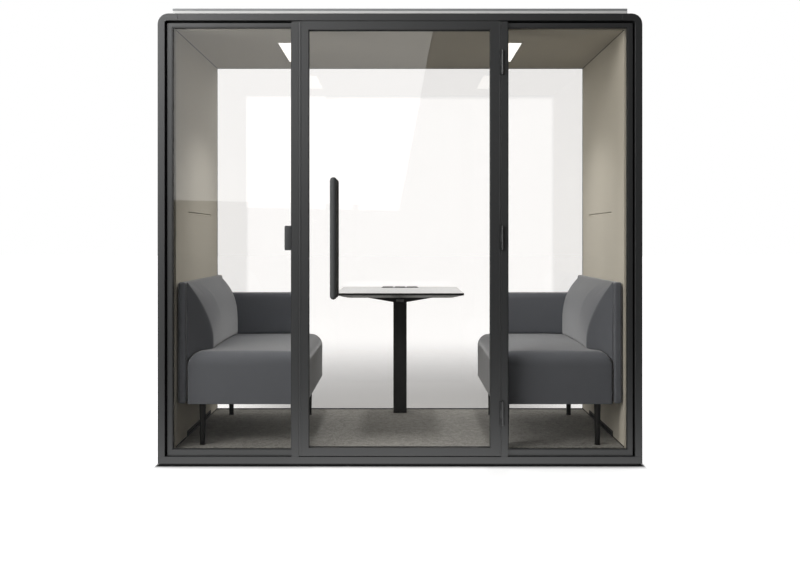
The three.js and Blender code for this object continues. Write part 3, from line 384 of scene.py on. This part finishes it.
# The recessed plinth below the band is coloured black, as painted shade for the shadow in the recess.
band_underside = 12 * mm
base = frame["nodes"]["base_frame"].data
base.materials.append(black_coat)
for face in base.polygons:
    if face.center.z < band_underside:
        face.material_index = 1

# Rubber, moulded: dull, with a faint grey bloom.
bloom_size = 6 * mm
rubber, tree, shader = new_finish("matt_rubber")
place = add_node(tree, "ShaderNodeTexCoord").outputs["Object"]
bloom = add_node(tree, "ShaderNodeTexNoise", {"Vector": place, "Scale": 1 / bloom_size, "Detail": 4.0})
shade = add_node(tree, "ShaderNodeMix", {
    0: bloom.outputs["Fac"], 6: linear("#0e0e0e"), 7: linear("#171717")}, data_type="RGBA")
set_inputs(tree, shader, Base_Color=shade.outputs[2], Roughness=0.75)
for end in ("front", "rear"):
    for side in ("left", "right"):
        finish_node(f"levelling_foot_{end}_{side}", rubber, edge=0.5 * mm)

# Carpet
# A loop-pile carpet tile glued to the deck: grey-brown yarn in tight loops of mixed shades, with
# lighter and darker clouds where the loops lean.
loop_size = 4 * mm
loop_relief = 1.5 * mm
clump_size = 30 * mm
fleck_share = 0.3
# Looped yarn: speckled and fully matt, with a faint fuzz at a flat angle.
loop_pile, tree, shader = new_finish("loop_pile_carpet")
place = add_node(tree, "ShaderNodeTexCoord").outputs["Object"]
loops = add_node(tree, "ShaderNodeTexVoronoi", {"Vector": place, "Scale": 1 / loop_size})
clumps = add_node(tree, "ShaderNodeTexNoise", {
    "Vector": place, "Scale": 1 / clump_size, "Detail": 6.0, "Roughness": 0.75})
fleck = add_node(tree, "ShaderNodeSeparateColor", {"Color": loops.outputs["Color"]}).outputs[0]
blend = add_node(tree, "ShaderNodeMix", {
    0: fleck_share, 2: clumps.outputs["Fac"], 3: fleck}, data_type="FLOAT")
spread = add_node(tree, "ShaderNodeMapRange", {
    "Value": blend.outputs[0], "From Min": 0.32, "From Max": 0.68})
yarn = add_node(tree, "ShaderNodeMix", {
    0: spread.outputs[0], 6: linear("#716f6b"), 7: linear("#adaba5")}, data_type="RGBA")
relief = add_node(tree, "ShaderNodeBump", {
    "Height": loops.outputs["Distance"], "Strength": 0.8, "Distance": loop_relief}, invert=True)
set_inputs(tree, shader, Base_Color=yarn.outputs[2], Roughness=0.95, Normal=relief.outputs[0],
           Sheen_Weight=0.15, Specular_IOR_Level=0.2)
finish_node("carpet", loop_pile, edge=1.5 * mm)

# Shells
# Two side shells and the roof shell close the cabin: sheet steel rolled round at the top corners
# and powder coated like the base.
for name in ("left_side_shell", "right_side_shell", "roof_shell"):
    finish_node(name, powder_coat, edge=1.2 * mm)

# Felt lining
# Pressed polyester felt panels in a warm grey line both walls and the ceiling. The fibres lie at
# random, so the surface is mottled and soft, with no weave. Low black vents stand at the walls' feet;
# their black is partly their own colour and partly painted shade for the deep slots in them.
cloud_size = 50 * mm
fibre_length = 3 * mm
fibre_share = 0.5
# Pressed felt: warm grey and fully matt, with fine fibres in it.
pressed_felt, tree, shader = new_finish("pressed_felt")
place = add_node(tree, "ShaderNodeTexCoord").outputs["Object"]
cloud = add_node(tree, "ShaderNodeTexNoise", {"Vector": place, "Scale": 1 / cloud_size, "Detail": 6.0})
fibres = add_node(tree, "ShaderNodeTexNoise", {
    "Vector": place, "Scale": 1 / fibre_length, "Detail": 3.0, "Distortion": 1.5})
blend = add_node(tree, "ShaderNodeMix", {
    0: fibre_share, 2: cloud.outputs["Fac"], 3: fibres.outputs["Fac"]}, data_type="FLOAT")
shade = add_node(tree, "ShaderNodeMix", {
    0: blend.outputs[0], 6: linear("#cbc5b6"), 7: linear("#d6d0c2")}, data_type="RGBA")
relief = add_node(tree, "ShaderNodeBump", {
    "Height": fibres.outputs["Fac"], "Strength": 0.4, "Distance": 0.4 * mm})
set_inputs(tree, shader, Base_Color=shade.outputs[2], Roughness=0.95, Normal=relief.outputs[0],
           Sheen_Weight=0.1, Specular_IOR_Level=0.2)
for name in ("left_wall_panel", "right_wall_panel", "ceiling_panel"):
    finish_node(name, pressed_felt, edge=2 * mm)
# Matt black: partly the vents' own colour, partly painted shade for their slots.
for name in ("left_floor_vent", "right_floor_vent"):
    finish_node(name, black_coat)


def finish_tree(group, shape, material):
    """End a geometry tree in plain geometry with its material."""
    whole = add_node(group, "GeometryNodeRealizeInstances", {"Geometry": shape})
    coated = add_node(group, "GeometryNodeSetMaterial", {
        "Geometry": whole.outputs[0], "Material": material})
    add_node(group, "NodeGroupOutput", {0: coated.outputs[0]})
    return group


def grown(name, points, edges, group, body, slot, **inputs):
    """Run a tree over these points, and keep the result as a plain mesh that rides on a body."""
    path = bpy.data.meshes.new(name + "_path")
    path.from_pydata(points, edges, [])
    stem = bpy.data.objects.new(name + "_path", path)
    bpy.context.scene.collection.objects.link(stem)
    modifier = stem.modifiers.new(group.name, "NODES")
    modifier.node_group = group
    for item in group.interface.items_tree:
        if item.in_out == "INPUT" and item.name in inputs:
            modifier[item.identifier] = inputs[item.name]
    ready = stem.evaluated_get(bpy.context.evaluated_depsgraph_get())
    mesh = bpy.data.meshes.new_from_object(ready)
    mesh.name = name
    bpy.data.objects.remove(stem)
    piece = bpy.data.objects.new(name, mesh)
    bpy.context.scene.collection.objects.link(piece)
    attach(piece, body)


def bead_tree():
    """Sweeps a bar with rounded edges along a path: Across lies level, Along is square to it."""
    group, given = new_tree("bead", Across="Float", Along="Float", Round="Float", Material="Material")
    line = add_node(group, "GeometryNodeMeshToCurve", {"Mesh": given["Geometry"]})
    square = add_node(group, "GeometryNodeCurvePrimitiveQuadrilateral", {
        "Width": given["Across"], "Height": given["Along"]})
    section = add_node(group, "GeometryNodeFilletCurve", {
        "Curve": square.outputs[0], "Radius": given["Round"], "Count": 2}, mode="POLY")
    sweep = add_node(group, "GeometryNodeCurveToMesh", {
        "Curve": line.outputs[0], "Profile Curve": section.outputs[0], "Fill Caps": True})
    return finish_tree(group, sweep.outputs[0], given["Material"])


bead = bead_tree()
bead_round = 0.25
# A bar swept round a square loop comes out this much too thin in the plane of the loop.
corner_stretch = math.sqrt(2)


def swept(name, points, edges, across, along, material, body, slot):
    """A bar of one section along the edges between these points, in one mesh."""
    grown(name, points, edges, bead, body, slot, Across=across, Along=along,
          Round=min(across, along) * bead_round, Material=material)


def bar(name, stretches, across, along, material, body, slot):
    """Straight bars, one for each pair of end points."""
    points = [end for stretch in stretches for end in stretch]
    edges = [(2 * i, 2 * i + 1) for i in range(len(stretches))]
    swept(name, points, edges, across, along, material, body, slot)


def ring(name, loops, across, along, material, body, slot):
    """Closed frames of four points each."""
    points = [corner for loop in loops for corner in loop]
    edges = [(4 * i + k, 4 * i + (k + 1) % 4) for i in range(len(loops)) for k in range(4)]
    swept(name, points, edges, across, along, material, body, slot)


# Black rubber strips close the joints at the foot of the walls, under the rear glass and at the ceiling;
# their black is partly painted shade for the shadow gaps at these joints.
joint_width = 4 * mm
foot_height = 6 * mm
carpet_low, carpet_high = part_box("carpet")
ceiling_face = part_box("ceiling_panel")[0].z
wall_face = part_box("right_wall_panel")[0].x
vent_low, vent_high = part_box("right_floor_vent")
foot_level = carpet_high.z + foot_height / 2
foot_strips = []
head_strips = []
for face in (-wall_face, wall_face):
    foot_strips.append(((face, carpet_low.y, foot_level), (face, vent_low.y, foot_level)))
    foot_strips.append(((face, vent_high.y, foot_level), (face, carpet_high.y, foot_level)))
    head_strips.append(((face, carpet_low.y, ceiling_face), (face, carpet_high.y, ceiling_face)))
bar("wall_foot_joints", foot_strips, joint_width, foot_height, rubber, "pod", "rubber")
bar("wall_head_joints", head_strips, joint_width, joint_width, rubber, "pod", "rubber")
# A felt baffle stands in each air slit, so that it reads as a shallow groove.
baffle_depth = 6 * mm
baffle_setback = 2 * mm
baffle_level_share = 0.4
baffle_height_share = 0.85
baffles = []
for opening in frame["record"]["physics"]["openings"]:
    if opening["name"].endswith("_air_slit"):
        slit_low, slit_high = opening["box_m"]
        slit_height = slit_high[2] - slit_low[2]
        side = math.copysign(1, slit_low[0])
        x = side * (wall_face + baffle_setback + baffle_depth / 2)
        z = slit_low[2] + slit_height * baffle_level_share
        baffles.append(((x, slit_low[1], z), (x, slit_high[1], z)))
bar("slit_baffles", baffles, baffle_depth, slit_height * baffle_height_share, pressed_felt, "pod", "felt")
rear_joint = [((-wall_face, carpet_high.y, foot_level), (wall_face, carpet_high.y, foot_level))]
bar("rear_foot_joint", rear_joint, joint_width, foot_height, rubber, "pod", "rubber")

# Light panels
# Two slim lamps are let into the ceiling, each an opal plastic diffuser lit evenly from behind.
# A thin white metal trim round each is pushed into the felt.
trim_width = 5 * mm
diffuser_glow = 1.6
lamp_radiance = 16
lamp_spread = math.radians(100)
lamp_drop = 1 * mm
# Matt white powder: plain and bright, with no clear mirror image.
white_coat = mottled_coat("matt_white_powder", "#f1f1ef", "#f6f6f4", rough=0.5)
# Opal plastic with lamps behind it: an even white, a little warm.
opal_diffuser, tree, shader = new_finish("opal_diffuser")
set_inputs(tree, shader, Base_Color=linear("#f4f3ee"), Roughness=0.4,
           Emission_Color=linear("#fffaf0"), Emission_Strength=diffuser_glow)
for name in ("left_light_panel", "right_light_panel"):
    finish_node(name, opal_diffuser)
    low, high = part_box(name)
    lamp = bpy.data.objects.new(name.replace("panel", "source"), bpy.data.lights.new(name, "AREA"))
    lamp.data.shape = "RECTANGLE"
    lamp.data.size = high.x - low.x
    lamp.data.size_y = high.y - low.y
    lamp.data.energy = lamp_radiance * math.pi * lamp.data.size * lamp.data.size_y
    lamp.data.spread = lamp_spread
    lamp.location = ((low.x + high.x) / 2, (low.y + high.y) / 2, low.z - lamp_drop)
    lamp.visible_camera = False
    bpy.context.scene.collection.objects.link(lamp)
    trim_loop = [
        (low.x, low.y, ceiling_face), (high.x, low.y, ceiling_face),
        (high.x, high.y, ceiling_face), (low.x, high.y, ceiling_face)]
    ring(name.replace("panel", "trim"), [trim_loop], trim_width * corner_stretch, trim_width,
         white_coat, "pod", "white_coat")

# Windows and rear wall
# Fixed panes of laminated glass, each in a slim powder-coated frame, the windows with a rubber gasket.
# Rear glass and windows are set into grooves and stay shut.

# Laminated glass, polished: clear with a faint warm tint, and sharp mirror images. Scattered light
# and shadows pass straight through it.
clear_glass, tree, shader = new_finish("laminated_glass")
set_inputs(tree, shader, Base_Color=linear("#fdfcfb"), Roughness=0.0, IOR=1.55, Transmission_Weight=1.0)
ray = add_node(tree, "ShaderNodeLightPath").outputs
blurred = add_node(tree, "ShaderNodeMath", {
    0: ray["Is Glossy Ray"], 1: ray["Is Singular Ray"]}, operation="SUBTRACT").outputs[0]
scattered = add_node(tree, "ShaderNodeMath", {
    0: blurred, 1: ray["Is Diffuse Ray"]}, operation="MAXIMUM").outputs[0]
passing = add_node(tree, "ShaderNodeMath", {
    0: scattered, 1: ray["Is Shadow Ray"]}, operation="MAXIMUM").outputs[0]
clear = add_node(tree, "ShaderNodeBsdfTransparent", {"Color": linear("#f8f7f5")})
pane = add_node(tree, "ShaderNodeMixShader", {0: passing, 1: shader.outputs[0], 2: clear.outputs[0]})
output = next(node for node in tree.nodes if node.type == "OUTPUT_MATERIAL")
tree.links.new(pane.outputs[0], output.inputs["Surface"])

# Extruded gasket rubber, with a skin that shines a little.
gasket_rubber = mottled_coat(
    "satin_gasket_rubber", "#1b1c1c", "#202121", rough=0.45, specular=0.8, grain=1 * mm, depth=0.03 * mm)
for side in ("left", "right"):
    finish_node(f"{side}_window_frame", powder_coat)
    finish_node(f"{side}_window_gasket", gasket_rubber, edge=0.5 * mm)
    finish_node(f"{side}_window_glass", clear_glass, edge=0.5 * mm)
finish_node("rear_frame", powder_coat)
finish_node("rear_glass", clear_glass, edge=0.5 * mm)

# Doorway
# Two upright jambs stand between the base and the roof, with a stop frame behind them that the door
# closes against. All are folded steel with the same dark powder as the shells.
for name in ("left_jamb", "right_jamb", "door_stop_frame"):
    finish_node(name, powder_coat)

# Door
# A slim welded frame round one full-height pane, with a long round pull on each face. Coated cover
# strips on its edges close the gaps to the jambs and the head, and a rubber bead holds the pane.
finish_node("door_frame", powder_coat)
finish_node("door_glass", clear_glass, edge=0.5 * mm)
# The pulls have a greyer and duller powder than the frames.
pull_coat = mottled_coat("matt_dark_powder", "#565758", "#5b5c5c", rough=0.6, specular=0.15)
for name in ("outer_handle", "inner_handle"):
    finish_node(name, pull_coat)
cover_depth = 2 * mm
cover_clear = 1 * mm
leaf_low, leaf_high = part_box("door_frame")
lock_gap = leaf_low.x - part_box("left_jamb")[1].x - cover_clear
hinge_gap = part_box("right_jamb")[0].x - leaf_high.x - cover_clear
head_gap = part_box("roof_shell")[0].z - leaf_high.z - cover_clear
cover_y = leaf_low.y + cover_depth / 2
lock_x = leaf_low.x - lock_gap / 2
bar("lock_cover_strip", [((lock_x, cover_y, leaf_low.z), (lock_x, cover_y, leaf_high.z))],
    lock_gap, cover_depth, powder_coat, "door", "powder_coat")
head_z = leaf_high.z + head_gap / 2
bar("head_cover_strip", [((leaf_low.x, cover_y, head_z), (leaf_high.x, cover_y, head_z))],
    cover_depth, head_gap, powder_coat, "door", "powder_coat")
hinge_x = leaf_high.x + hinge_gap / 2
hinge_levels = ("lower", "middle", "upper")
stops = [leaf_low.z]
for hinge_level in hinge_levels:
    for corner, away in zip(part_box(f"{hinge_level}_hinge_jamb_leaf"), (-cover_clear, cover_clear)):
        stops.append(corner.z + away)
stops.append(leaf_high.z)
bar("hinge_cover_strips",
    [((hinge_x, cover_y, foot), (hinge_x, cover_y, head)) for foot, head in zip(stops[::2], stops[1::2])],
    hinge_gap, cover_depth, powder_coat, "door", "powder_coat")

# The bead lies against the pane on both faces, just inside the strip of glass that the frame covers.
bead_width = 2.5 * mm
covered_glass = 12 * mm
pane_low, pane_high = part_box("door_glass")
pane_bite = covered_glass + bead_width / 2
bead_loops = []
for pane_face in (pane_low.y - bead_width / 2, pane_high.y + bead_width / 2):
    left, right = pane_low.x + pane_bite, pane_high.x - pane_bite
    foot, head = pane_low.z + pane_bite, pane_high.z - pane_bite
    bead_loops.append([
        (left, pane_face, foot), (right, pane_face, foot),
        (right, pane_face, head), (left, pane_face, head)])
ring("door_glazing_bead", bead_loops, bead_width, bead_width * corner_stretch,
     gasket_rubber, "door", "rubber")

# Hinges and lock
# Three coated barrel hinges, a small lock case on the left jamb, a sprung roller bolt and its strike
# plate. Small hexagon-socket screws hold the case and the plate.
for hinge_level in hinge_levels:
    finish_node(f"{hinge_level}_hinge_jamb_leaf", powder_coat, edge=0.4 * mm)
    finish_node(f"{hinge_level}_hinge_door_leaf", powder_coat, edge=0.4 * mm)
# Satin steel, turned: fine marks, drawn 2 mm apart so that they show, blur its shine.
mark_spacing = 2 * mm
satin_steel, tree, shader = new_finish("satin_steel")
place = add_node(tree, "ShaderNodeTexCoord").outputs["Object"]
marks = add_node(tree, "ShaderNodeTexNoise", {"Vector": place, "Scale": 1 / mark_spacing, "Detail": 4.0})
gloss = add_node(tree, "ShaderNodeMapRange", {
    "Value": marks.outputs["Fac"], "To Min": 0.26, "To Max": 0.4})
set_inputs(tree, shader, Base_Color=linear("#a9abad"), Metallic=1.0, Roughness=gloss.outputs[0])
# A lighter grey powder on the lock case.
grey_coat = mottled_coat("grey_powder", "#454647", "#4b4c4d", rough=0.5)
finish_node("lock_case", grey_coat, edge=0.6 * mm)
finish_node("roller_bolt", satin_steel, edge=0.4 * mm)
finish_node("strike_plate", satin_steel, edge=0.4 * mm)

# A screw head's radii and height as shares of its diameter.
rim_share = 0.42
foot_share = 0.5
socket_share = 0.26
height_share = 0.3
head_sides = 20


def screw_tree():
    """Sets a low conical screw head with a hexagon socket on every point, all facing one way."""
    group, given = new_tree(
        "screw_heads", Diameter="Float", Height="Float", Facing="Vector", Material="Material")
    radii = {}
    for label, share in (("rim", rim_share), ("foot", foot_share), ("socket", socket_share)):
        radii[label] = add_node(group, "ShaderNodeMath", {
            0: given["Diameter"], 1: share}, operation="MULTIPLY").outputs[0]
    head = add_node(group, "GeometryNodeMeshCone", {
        "Vertices": head_sides, "Radius Top": radii["rim"], "Radius Bottom": radii["foot"],
        "Depth": given["Height"]})
    hexagon = add_node(group, "GeometryNodeMeshCylinder", {
        "Vertices": 6, "Radius": radii["socket"], "Depth": given["Height"]})
    lift = add_node(group, "ShaderNodeCombineXYZ", {"Z": given["Height"]})
    raised = add_node(group, "GeometryNodeTransform", {
        "Geometry": hexagon.outputs[0], "Translation": lift.outputs[0]})
    screw = add_node(group, "GeometryNodeMeshBoolean", {0: head.outputs[0], 1: raised.outputs[0]},
                     operation="DIFFERENCE")
    turned = add_node(group, "FunctionNodeAlignRotationToVector", {"Vector": given["Facing"]}, axis="Z")
    placed = add_node(group, "GeometryNodeInstanceOnPoints", {
        "Points": given["Geometry"], "Instance": screw.outputs[0], "Rotation": turned.outputs[0]})
    return finish_tree(group, placed.outputs[0], given["Material"])


screw_heads = screw_tree()


def screws(name, places, facing, diameter, body):
    """Satin steel screws at these places, in one mesh."""
    grown(name, places, [], screw_heads, body, "steel", Diameter=diameter,
          Height=diameter * height_share, Facing=facing, Material=satin_steel)


case_screw = 7 * mm
case_screw_reach = 45 * mm
case_low, case_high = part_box("lock_case")
case_middle = (case_low + case_high) / 2
case_places = [
    (case_middle.x, case_high.y, case_middle.z + away) for away in (-case_screw_reach, case_screw_reach)]
screws("lock_case_screws", case_places, (0, 1, 0), case_screw, "pod")
strike_screw = 6 * mm
strike_screw_reach = 22 * mm
plate_low, plate_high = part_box("strike_plate")
plate_middle = (plate_low + plate_high) / 2
plate_places = [
    (plate_low.x, plate_middle.y, plate_middle.z + away)
    for away in (-strike_screw_reach, strike_screw_reach)]
screws("strike_screws", plate_places, (-1, 0, 0), strike_screw, "door")

# Roof plenum
# A shallow white box on the roof, with the fans and the power box inside, under a thin sheet lid that
# is screwed down along its edges.
finish_node("roof_plenum", white_coat)
# Galvanised sheet, left bare: dull grey with a soft spangle.
zinc_sheet = mottled_coat(
    "galvanised_sheet", "#9a9c9d", "#a8aaab", rough=0.5, grain=6 * mm, depth=0.02 * mm)
finish_node("plenum_lid", zinc_sheet)
lid_screw = 11 * mm
screw_inset = 18 * mm
screw_pitch = 260 * mm
lid_low, lid_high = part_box("plenum_lid")
lid_places = []
for first, other in ((0, 1), (1, 0)):
    span = lid_high[first] - lid_low[first] - 2 * screw_inset
    count = round(span / screw_pitch)
    for i in range(count):
        for edge in (lid_low[other] + screw_inset, lid_high[other] - screw_inset):
            spot = [0, 0, lid_high.z]
            spot[first] = lid_low[first] + screw_inset + span * (i + 0.5) / count
            spot[other] = edge
            lid_places.append(spot)
screws("lid_screws", lid_places, (0, 0, 1), lid_screw, "pod")
# Moulded black plastic: plain, with a soft sheen.
moulded_plastic = mottled_coat("moulded_plastic", "#1b1b1c", "#222223", rough=0.45, grain=1 * mm)
finish_node("power_box", moulded_plastic)
finish_node("fan_tray", black_coat)
for side in ("left", "right"):
    finish_node(f"{side}_fan_impeller", moulded_plastic, edge=0.3 * mm)

# Table
# A board with a light laminate on top, a black edge and a bevelled, lacquered underside, on a black
# steel column and bracket; three low sockets are let in at the far side.

# Pressed laminate: a cool, light grey with a soft sheen.
laminate = mottled_coat(
    "light_laminate", "#d6d7d9", "#dcdddf", rough=0.4, grain=2 * mm, depth=0.02 * mm)
# Black edge of the board, sanded and oiled.
board_edge = mottled_coat(
    "black_board_edge", "#101010", "#161616", rough=0.45, grain=1 * mm, depth=0.03 * mm)
# Grey lacquer on the bevel, smoother than the edge.
bevel_lacquer = mottled_coat(
    "grey_lacquer", "#8c8c8c", "#949494", rough=0.35, grain=1 * mm, depth=0.02 * mm)
finish_node("table_top", laminate)
board = frame["nodes"]["table_top"].data
board.materials.append(board_edge)
board.materials.append(bevel_lacquer)
# The way a face points tells the top, the upright edge and the flat underside from the bevel.
top_tilt = 0.5
edge_tilt = -0.05
under_tilt = -0.999
for face in board.polygons:
    tilt = face.normal.z
    if tilt < top_tilt:
        face.material_index = 1 if tilt > edge_tilt or tilt < under_tilt else 2
finish_node("table_sockets", black_coat, edge=0.5 * mm)
socket_pitch = 73 * mm
flap_half = 24 * mm
rim_width = 2 * mm
rim_height = 1.2 * mm
socket_low, socket_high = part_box("table_sockets")
flap_middle = (socket_low + socket_high) / 2
flap_loops = []
for step in (-1, 0, 1):
    x = flap_middle.x + step * socket_pitch
    flap_loops.append([
        (x + a * flap_half, flap_middle.y + b * flap_half, socket_high.z)
        for a, b in ((-1, -1), (1, -1), (1, 1), (-1, 1))])
ring("socket_flap_rims", flap_loops, rim_width * corner_stretch, rim_height, rubber, "pod", "rubber")
# Black powder on the column and the bracket, a little lighter than on the vents.
satin_black = mottled_coat("satin_black_powder", "#181818", "#1d1d1d", rough=0.5, specular=0.4)
finish_node("table_bracket", satin_black)
finish_node("table_column", satin_black)

# Benches
# Two facing benches: black steel boards on round legs carry moulded foam pads under a tight wool
# cover. The seat, the back cushion, the back shell and the rear arm are pads of their own.
seat_low, seat_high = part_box("left_seat_cushion")
# A narrow gap stays open between the seat and the back shell.
seat_gap = 5 * mm
seat_low.x += seat_gap
shell_low, shell_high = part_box("left_back_shell")
back_low, back_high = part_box("left_back_cushion")
arm_low, arm_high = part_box("left_rear_arm")
seat_round = 62 * mm
seat_crown = 16 * mm
seat_corner = 10 * mm
# The back thins from its base to its top, by a power that grows over the first stretch from its
# near end.
back_base = 110 * mm
back_top = 5 * mm
near_fall = 1.6
far_fall = 3.0
fall_run = 260 * mm
back_slant = 1.15
edge_round = 12 * mm
pad_spacing = 13 * mm
round_steps = 8
pad_fit = 1 * mm
pad_pressure = 4
pad_frames = 20
pad_limit = 4 * mm
cover_quality = 4


def grid_lines(low, high, low_round=0.0, high_round=0.0):
    """Places of a pad's grid lines along one axis, closer together towards a rounded end."""
    span = high - low - low_round - high_round
    steps = max(round(span / pad_spacing), 2)
    middle = [low + low_round + span * i / steps for i in range(steps + 1)]
    bend = [1 - math.cos(math.pi / 2 * i / round_steps) for i in range(round_steps)]
    before = [low + low_round * share for share in bend] if low_round else []
    after = [high - high_round * share for share in reversed(bend)] if high_round else []
    return before + middle + after


def pad_mesh(name, lines, form):
    """A closed box of quads along these grid lines, with each corner moved to its place by form."""
    mesh = bmesh.new()
    corners = {}
    for across in range(3):
        along, up = (across + 1) % 3, (across + 2) % 3
        for end in (0, len(lines[across]) - 1):
            for i in range(len(lines[along]) - 1):
                for j in range(len(lines[up]) - 1):
                    loop = []
                    for step_i, step_j in ((0, 0), (1, 0), (1, 1), (0, 1)):
                        key = [end, end, end]
                        key[along] = i + step_i
                        key[up] = j + step_j
                        key = tuple(key)
                        if key not in corners:
                            start = [lines[axis][key[axis]] for axis in range(3)]
                            corners[key] = mesh.verts.new(form(*start))
                        loop.append(corners[key])
                    mesh.faces.new(loop)
    bmesh.ops.recalc_face_normals(mesh, faces=mesh.faces)
    plain = bpy.data.meshes.new(name)
    mesh.to_mesh(plain)
    mesh.free()
    return plain


def stuffed(mesh):
    """The cover blown tight by the foam inside it, by a short cloth run, held near its first form."""
    scene = bpy.context.scene
    pad = bpy.data.objects.new("pad", mesh)
    scene.collection.objects.link(pad)
    cover = pad.modifiers.new("cover", "CLOTH")
    cover.settings.use_pressure = True
    cover.settings.uniform_pressure_force = pad_pressure
    cover.settings.effector_weights.gravity = 0
    cover.settings.quality = cover_quality
    cover.point_cache.frame_end = pad_frames
    for step in range(1, pad_frames + 1):
        scene.frame_set(step)
    blown = pad.evaluated_get(bpy.context.evaluated_depsgraph_get()).to_mesh()
    places = [corner.co.copy() for corner in blown.vertices]
    pad.to_mesh_clear()
    scene.frame_set(1)
    bpy.data.objects.remove(pad)
    for corner, place in zip(mesh.vertices, places):
        move = place - corner.co
        if move.length > 0:
            corner.co += move.normalized() * pad_limit * math.tanh(move.length / pad_limit)
    return mesh


def edge_drop(inset):
    """How far the seat's rounded edge falls at this distance in from the side."""
    run = max(seat_round - inset, 0.0)
    return seat_round - math.sqrt(max(seat_round ** 2 - run ** 2, 0.0))


def seat_surface(x, y):
    """Height of the seat's top: rounded along the edges, crowned in the middle."""
    across = 1 - (2 * (x - seat_low.x) / (seat_high.x - seat_low.x) - 1) ** 2
    along = 1 - (2 * (y - seat_low.y) / (seat_high.y - seat_low.y) - 1) ** 2
    drop_x = edge_drop(min(x - seat_low.x, seat_high.x - x))
    drop_y = edge_drop(min(y - seat_low.y, seat_high.y - y))
    return seat_high.z - min(math.hypot(drop_x, drop_y), seat_round) - seat_crown * (1 - across * along)


def over_seat(x, y, z, low, high):
    """A height between low and high, moved up so that low lies on the seat."""
    foot = max(seat_surface(x, y) + pad_fit, low)
    return foot + (z - low) / (high - low) * (high - foot)


def seat_form(x, y, z):
    """Rounded at its upright corners, with its top on the crowned surface."""
    inner = Vector((
        min(max(x, seat_low.x + seat_corner), seat_high.x - seat_corner),
        min(max(y, seat_low.y + seat_corner), seat_high.y - seat_corner)))
    off = Vector((x, y)) - inner
    if off.length > seat_corner:
        off *= seat_corner / off.length
    x, y = inner + off
    rise = (z - seat_low.z) / (seat_high.z - seat_low.z)
    return x, y, seat_low.z + rise * (seat_surface(x, y) - seat_low.z)


def back_form(x, y, z):
    """Thick at the seat and thin at the top, with a slanted near end and its foot on the seat."""
    share = (x - back_low.x) / (back_high.x - back_low.x)
    rise = max((z - seat_high.z) / (back_high.z - seat_high.z), 0.0)
    run = min((y - back_low.y) / fall_run, 1.0)
    fall = near_fall + (far_fall - near_fall) * run
    deep = share * (back_top + (back_base - back_top) * (1 - min(rise, 1.0) ** fall))
    y += back_slant * deep * (back_high.y - y) / (back_high.y - back_low.y)
    x = back_low.x + deep
    return x, y, over_seat(x, y, z, back_low.z, back_high.z)


def rounded(low, high):
    """Form of a plain pad between two corners, rounded along all its edges."""
    def form(x, y, z):
        inner = [min(max(v, a + edge_round), b - edge_round) for v, a, b in zip((x, y, z), low, high)]
        off = Vector((x, y, z)) - Vector(inner)
        if off.length > edge_round:
            off *= edge_round / off.length
        return Vector(inner) + off
    return form


plain_arm = rounded(arm_low, arm_high)


def arm_form(x, y, z):
    """A plain rounded arm with its foot on the seat."""
    x, y, z = plain_arm(x, y, z)
    return x, y, over_seat(x, y, z, arm_low.z, arm_high.z)


pads = {
    "seat_cushion": (
        [grid_lines(seat_low.x, seat_high.x, seat_round, seat_round),
         grid_lines(seat_low.y, seat_high.y, seat_round, seat_round),
         grid_lines(seat_low.z, seat_high.z)], seat_form),
    "back_cushion": ([grid_lines(a, b) for a, b in zip(back_low, back_high)], back_form),
    "back_shell": (
        [grid_lines(a, b, edge_round, edge_round) for a, b in zip(shell_low, shell_high)],
        rounded(shell_low, shell_high)),
    "rear_arm": (
        [grid_lines(a, b, edge_round, edge_round) for a, b in zip(arm_low, arm_high)], arm_form),
}

# Woven wool: two yarns, one over one under, in a soft melange of blue and grey. The threads lie
# about 1.5 mm apart and are drawn twice as coarse so that they show.
thread = 3 * mm
melange_size = 5 * mm
wool, tree, shader = new_finish("woven_wool")
place = add_node(tree, "ShaderNodeTexCoord").outputs["Object"]
axes = add_node(tree, "ShaderNodeSeparateXYZ", {"Vector": place}).outputs
waves = []
for axis in ("X", "Y", "Z"):
    turned = add_node(tree, "ShaderNodeMath", {
        0: axes[axis], 1: 2 * math.pi / thread}, operation="MULTIPLY").outputs[0]
    waves.append(add_node(tree, "ShaderNodeMath", {0: turned}, operation="SINE").outputs[0])
over_under = None
for first, second in ((0, 1), (1, 2), (2, 0)):
    crossing = add_node(tree, "ShaderNodeMath", {
        0: waves[first], 1: waves[second]}, operation="MULTIPLY").outputs[0]
    if over_under is not None:
        crossing = add_node(tree, "ShaderNodeMath", {0: over_under, 1: crossing}).outputs[0]
    over_under = crossing
melange = add_node(tree, "ShaderNodeTexNoise", {
    "Vector": place, "Scale": 1 / melange_size, "Detail": 4.0, "Roughness": 0.7})
shade = add_node(tree, "ShaderNodeMix", {
    0: melange.outputs["Fac"], 6: linear("#64676c"), 7: linear("#70737a")}, data_type="RGBA")
relief = add_node(tree, "ShaderNodeBump", {"Height": over_under, "Strength": 0.1, "Distance": 0.3 * mm})
set_inputs(tree, shader, Base_Color=shade.outputs[2], Roughness=0.9, Normal=relief.outputs[0],
           Sheen_Weight=0.6, Sheen_Roughness=0.4, Specular_IOR_Level=0.2)

for part, (lines, form) in pads.items():
    left_mesh = stuffed(pad_mesh(f"left_{part}_pad", lines, form))
    left_mesh.materials.append(wool)
    left_mesh.shade_smooth()
    right_mesh = left_mesh.copy()
    right_mesh.name = f"right_{part}_pad"
    right_mesh.transform(Matrix.Diagonal((-1, 1, 1, 1)))
    right_mesh.flip_normals()
    for side, mesh in (("left", left_mesh), ("right", right_mesh)):
        pad = bpy.data.objects.new(mesh.name, mesh)
        bpy.context.scene.collection.objects.link(pad)
        round_off = pad.modifiers.new("round_off", "SUBSURF")
        round_off.levels = 1
        round_off.render_levels = 1
        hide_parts(f"{side}_{part}")
        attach(pad, "pod")
for side in ("left", "right"):
    finish_node(f"{side}_bench_frame", black_coat)
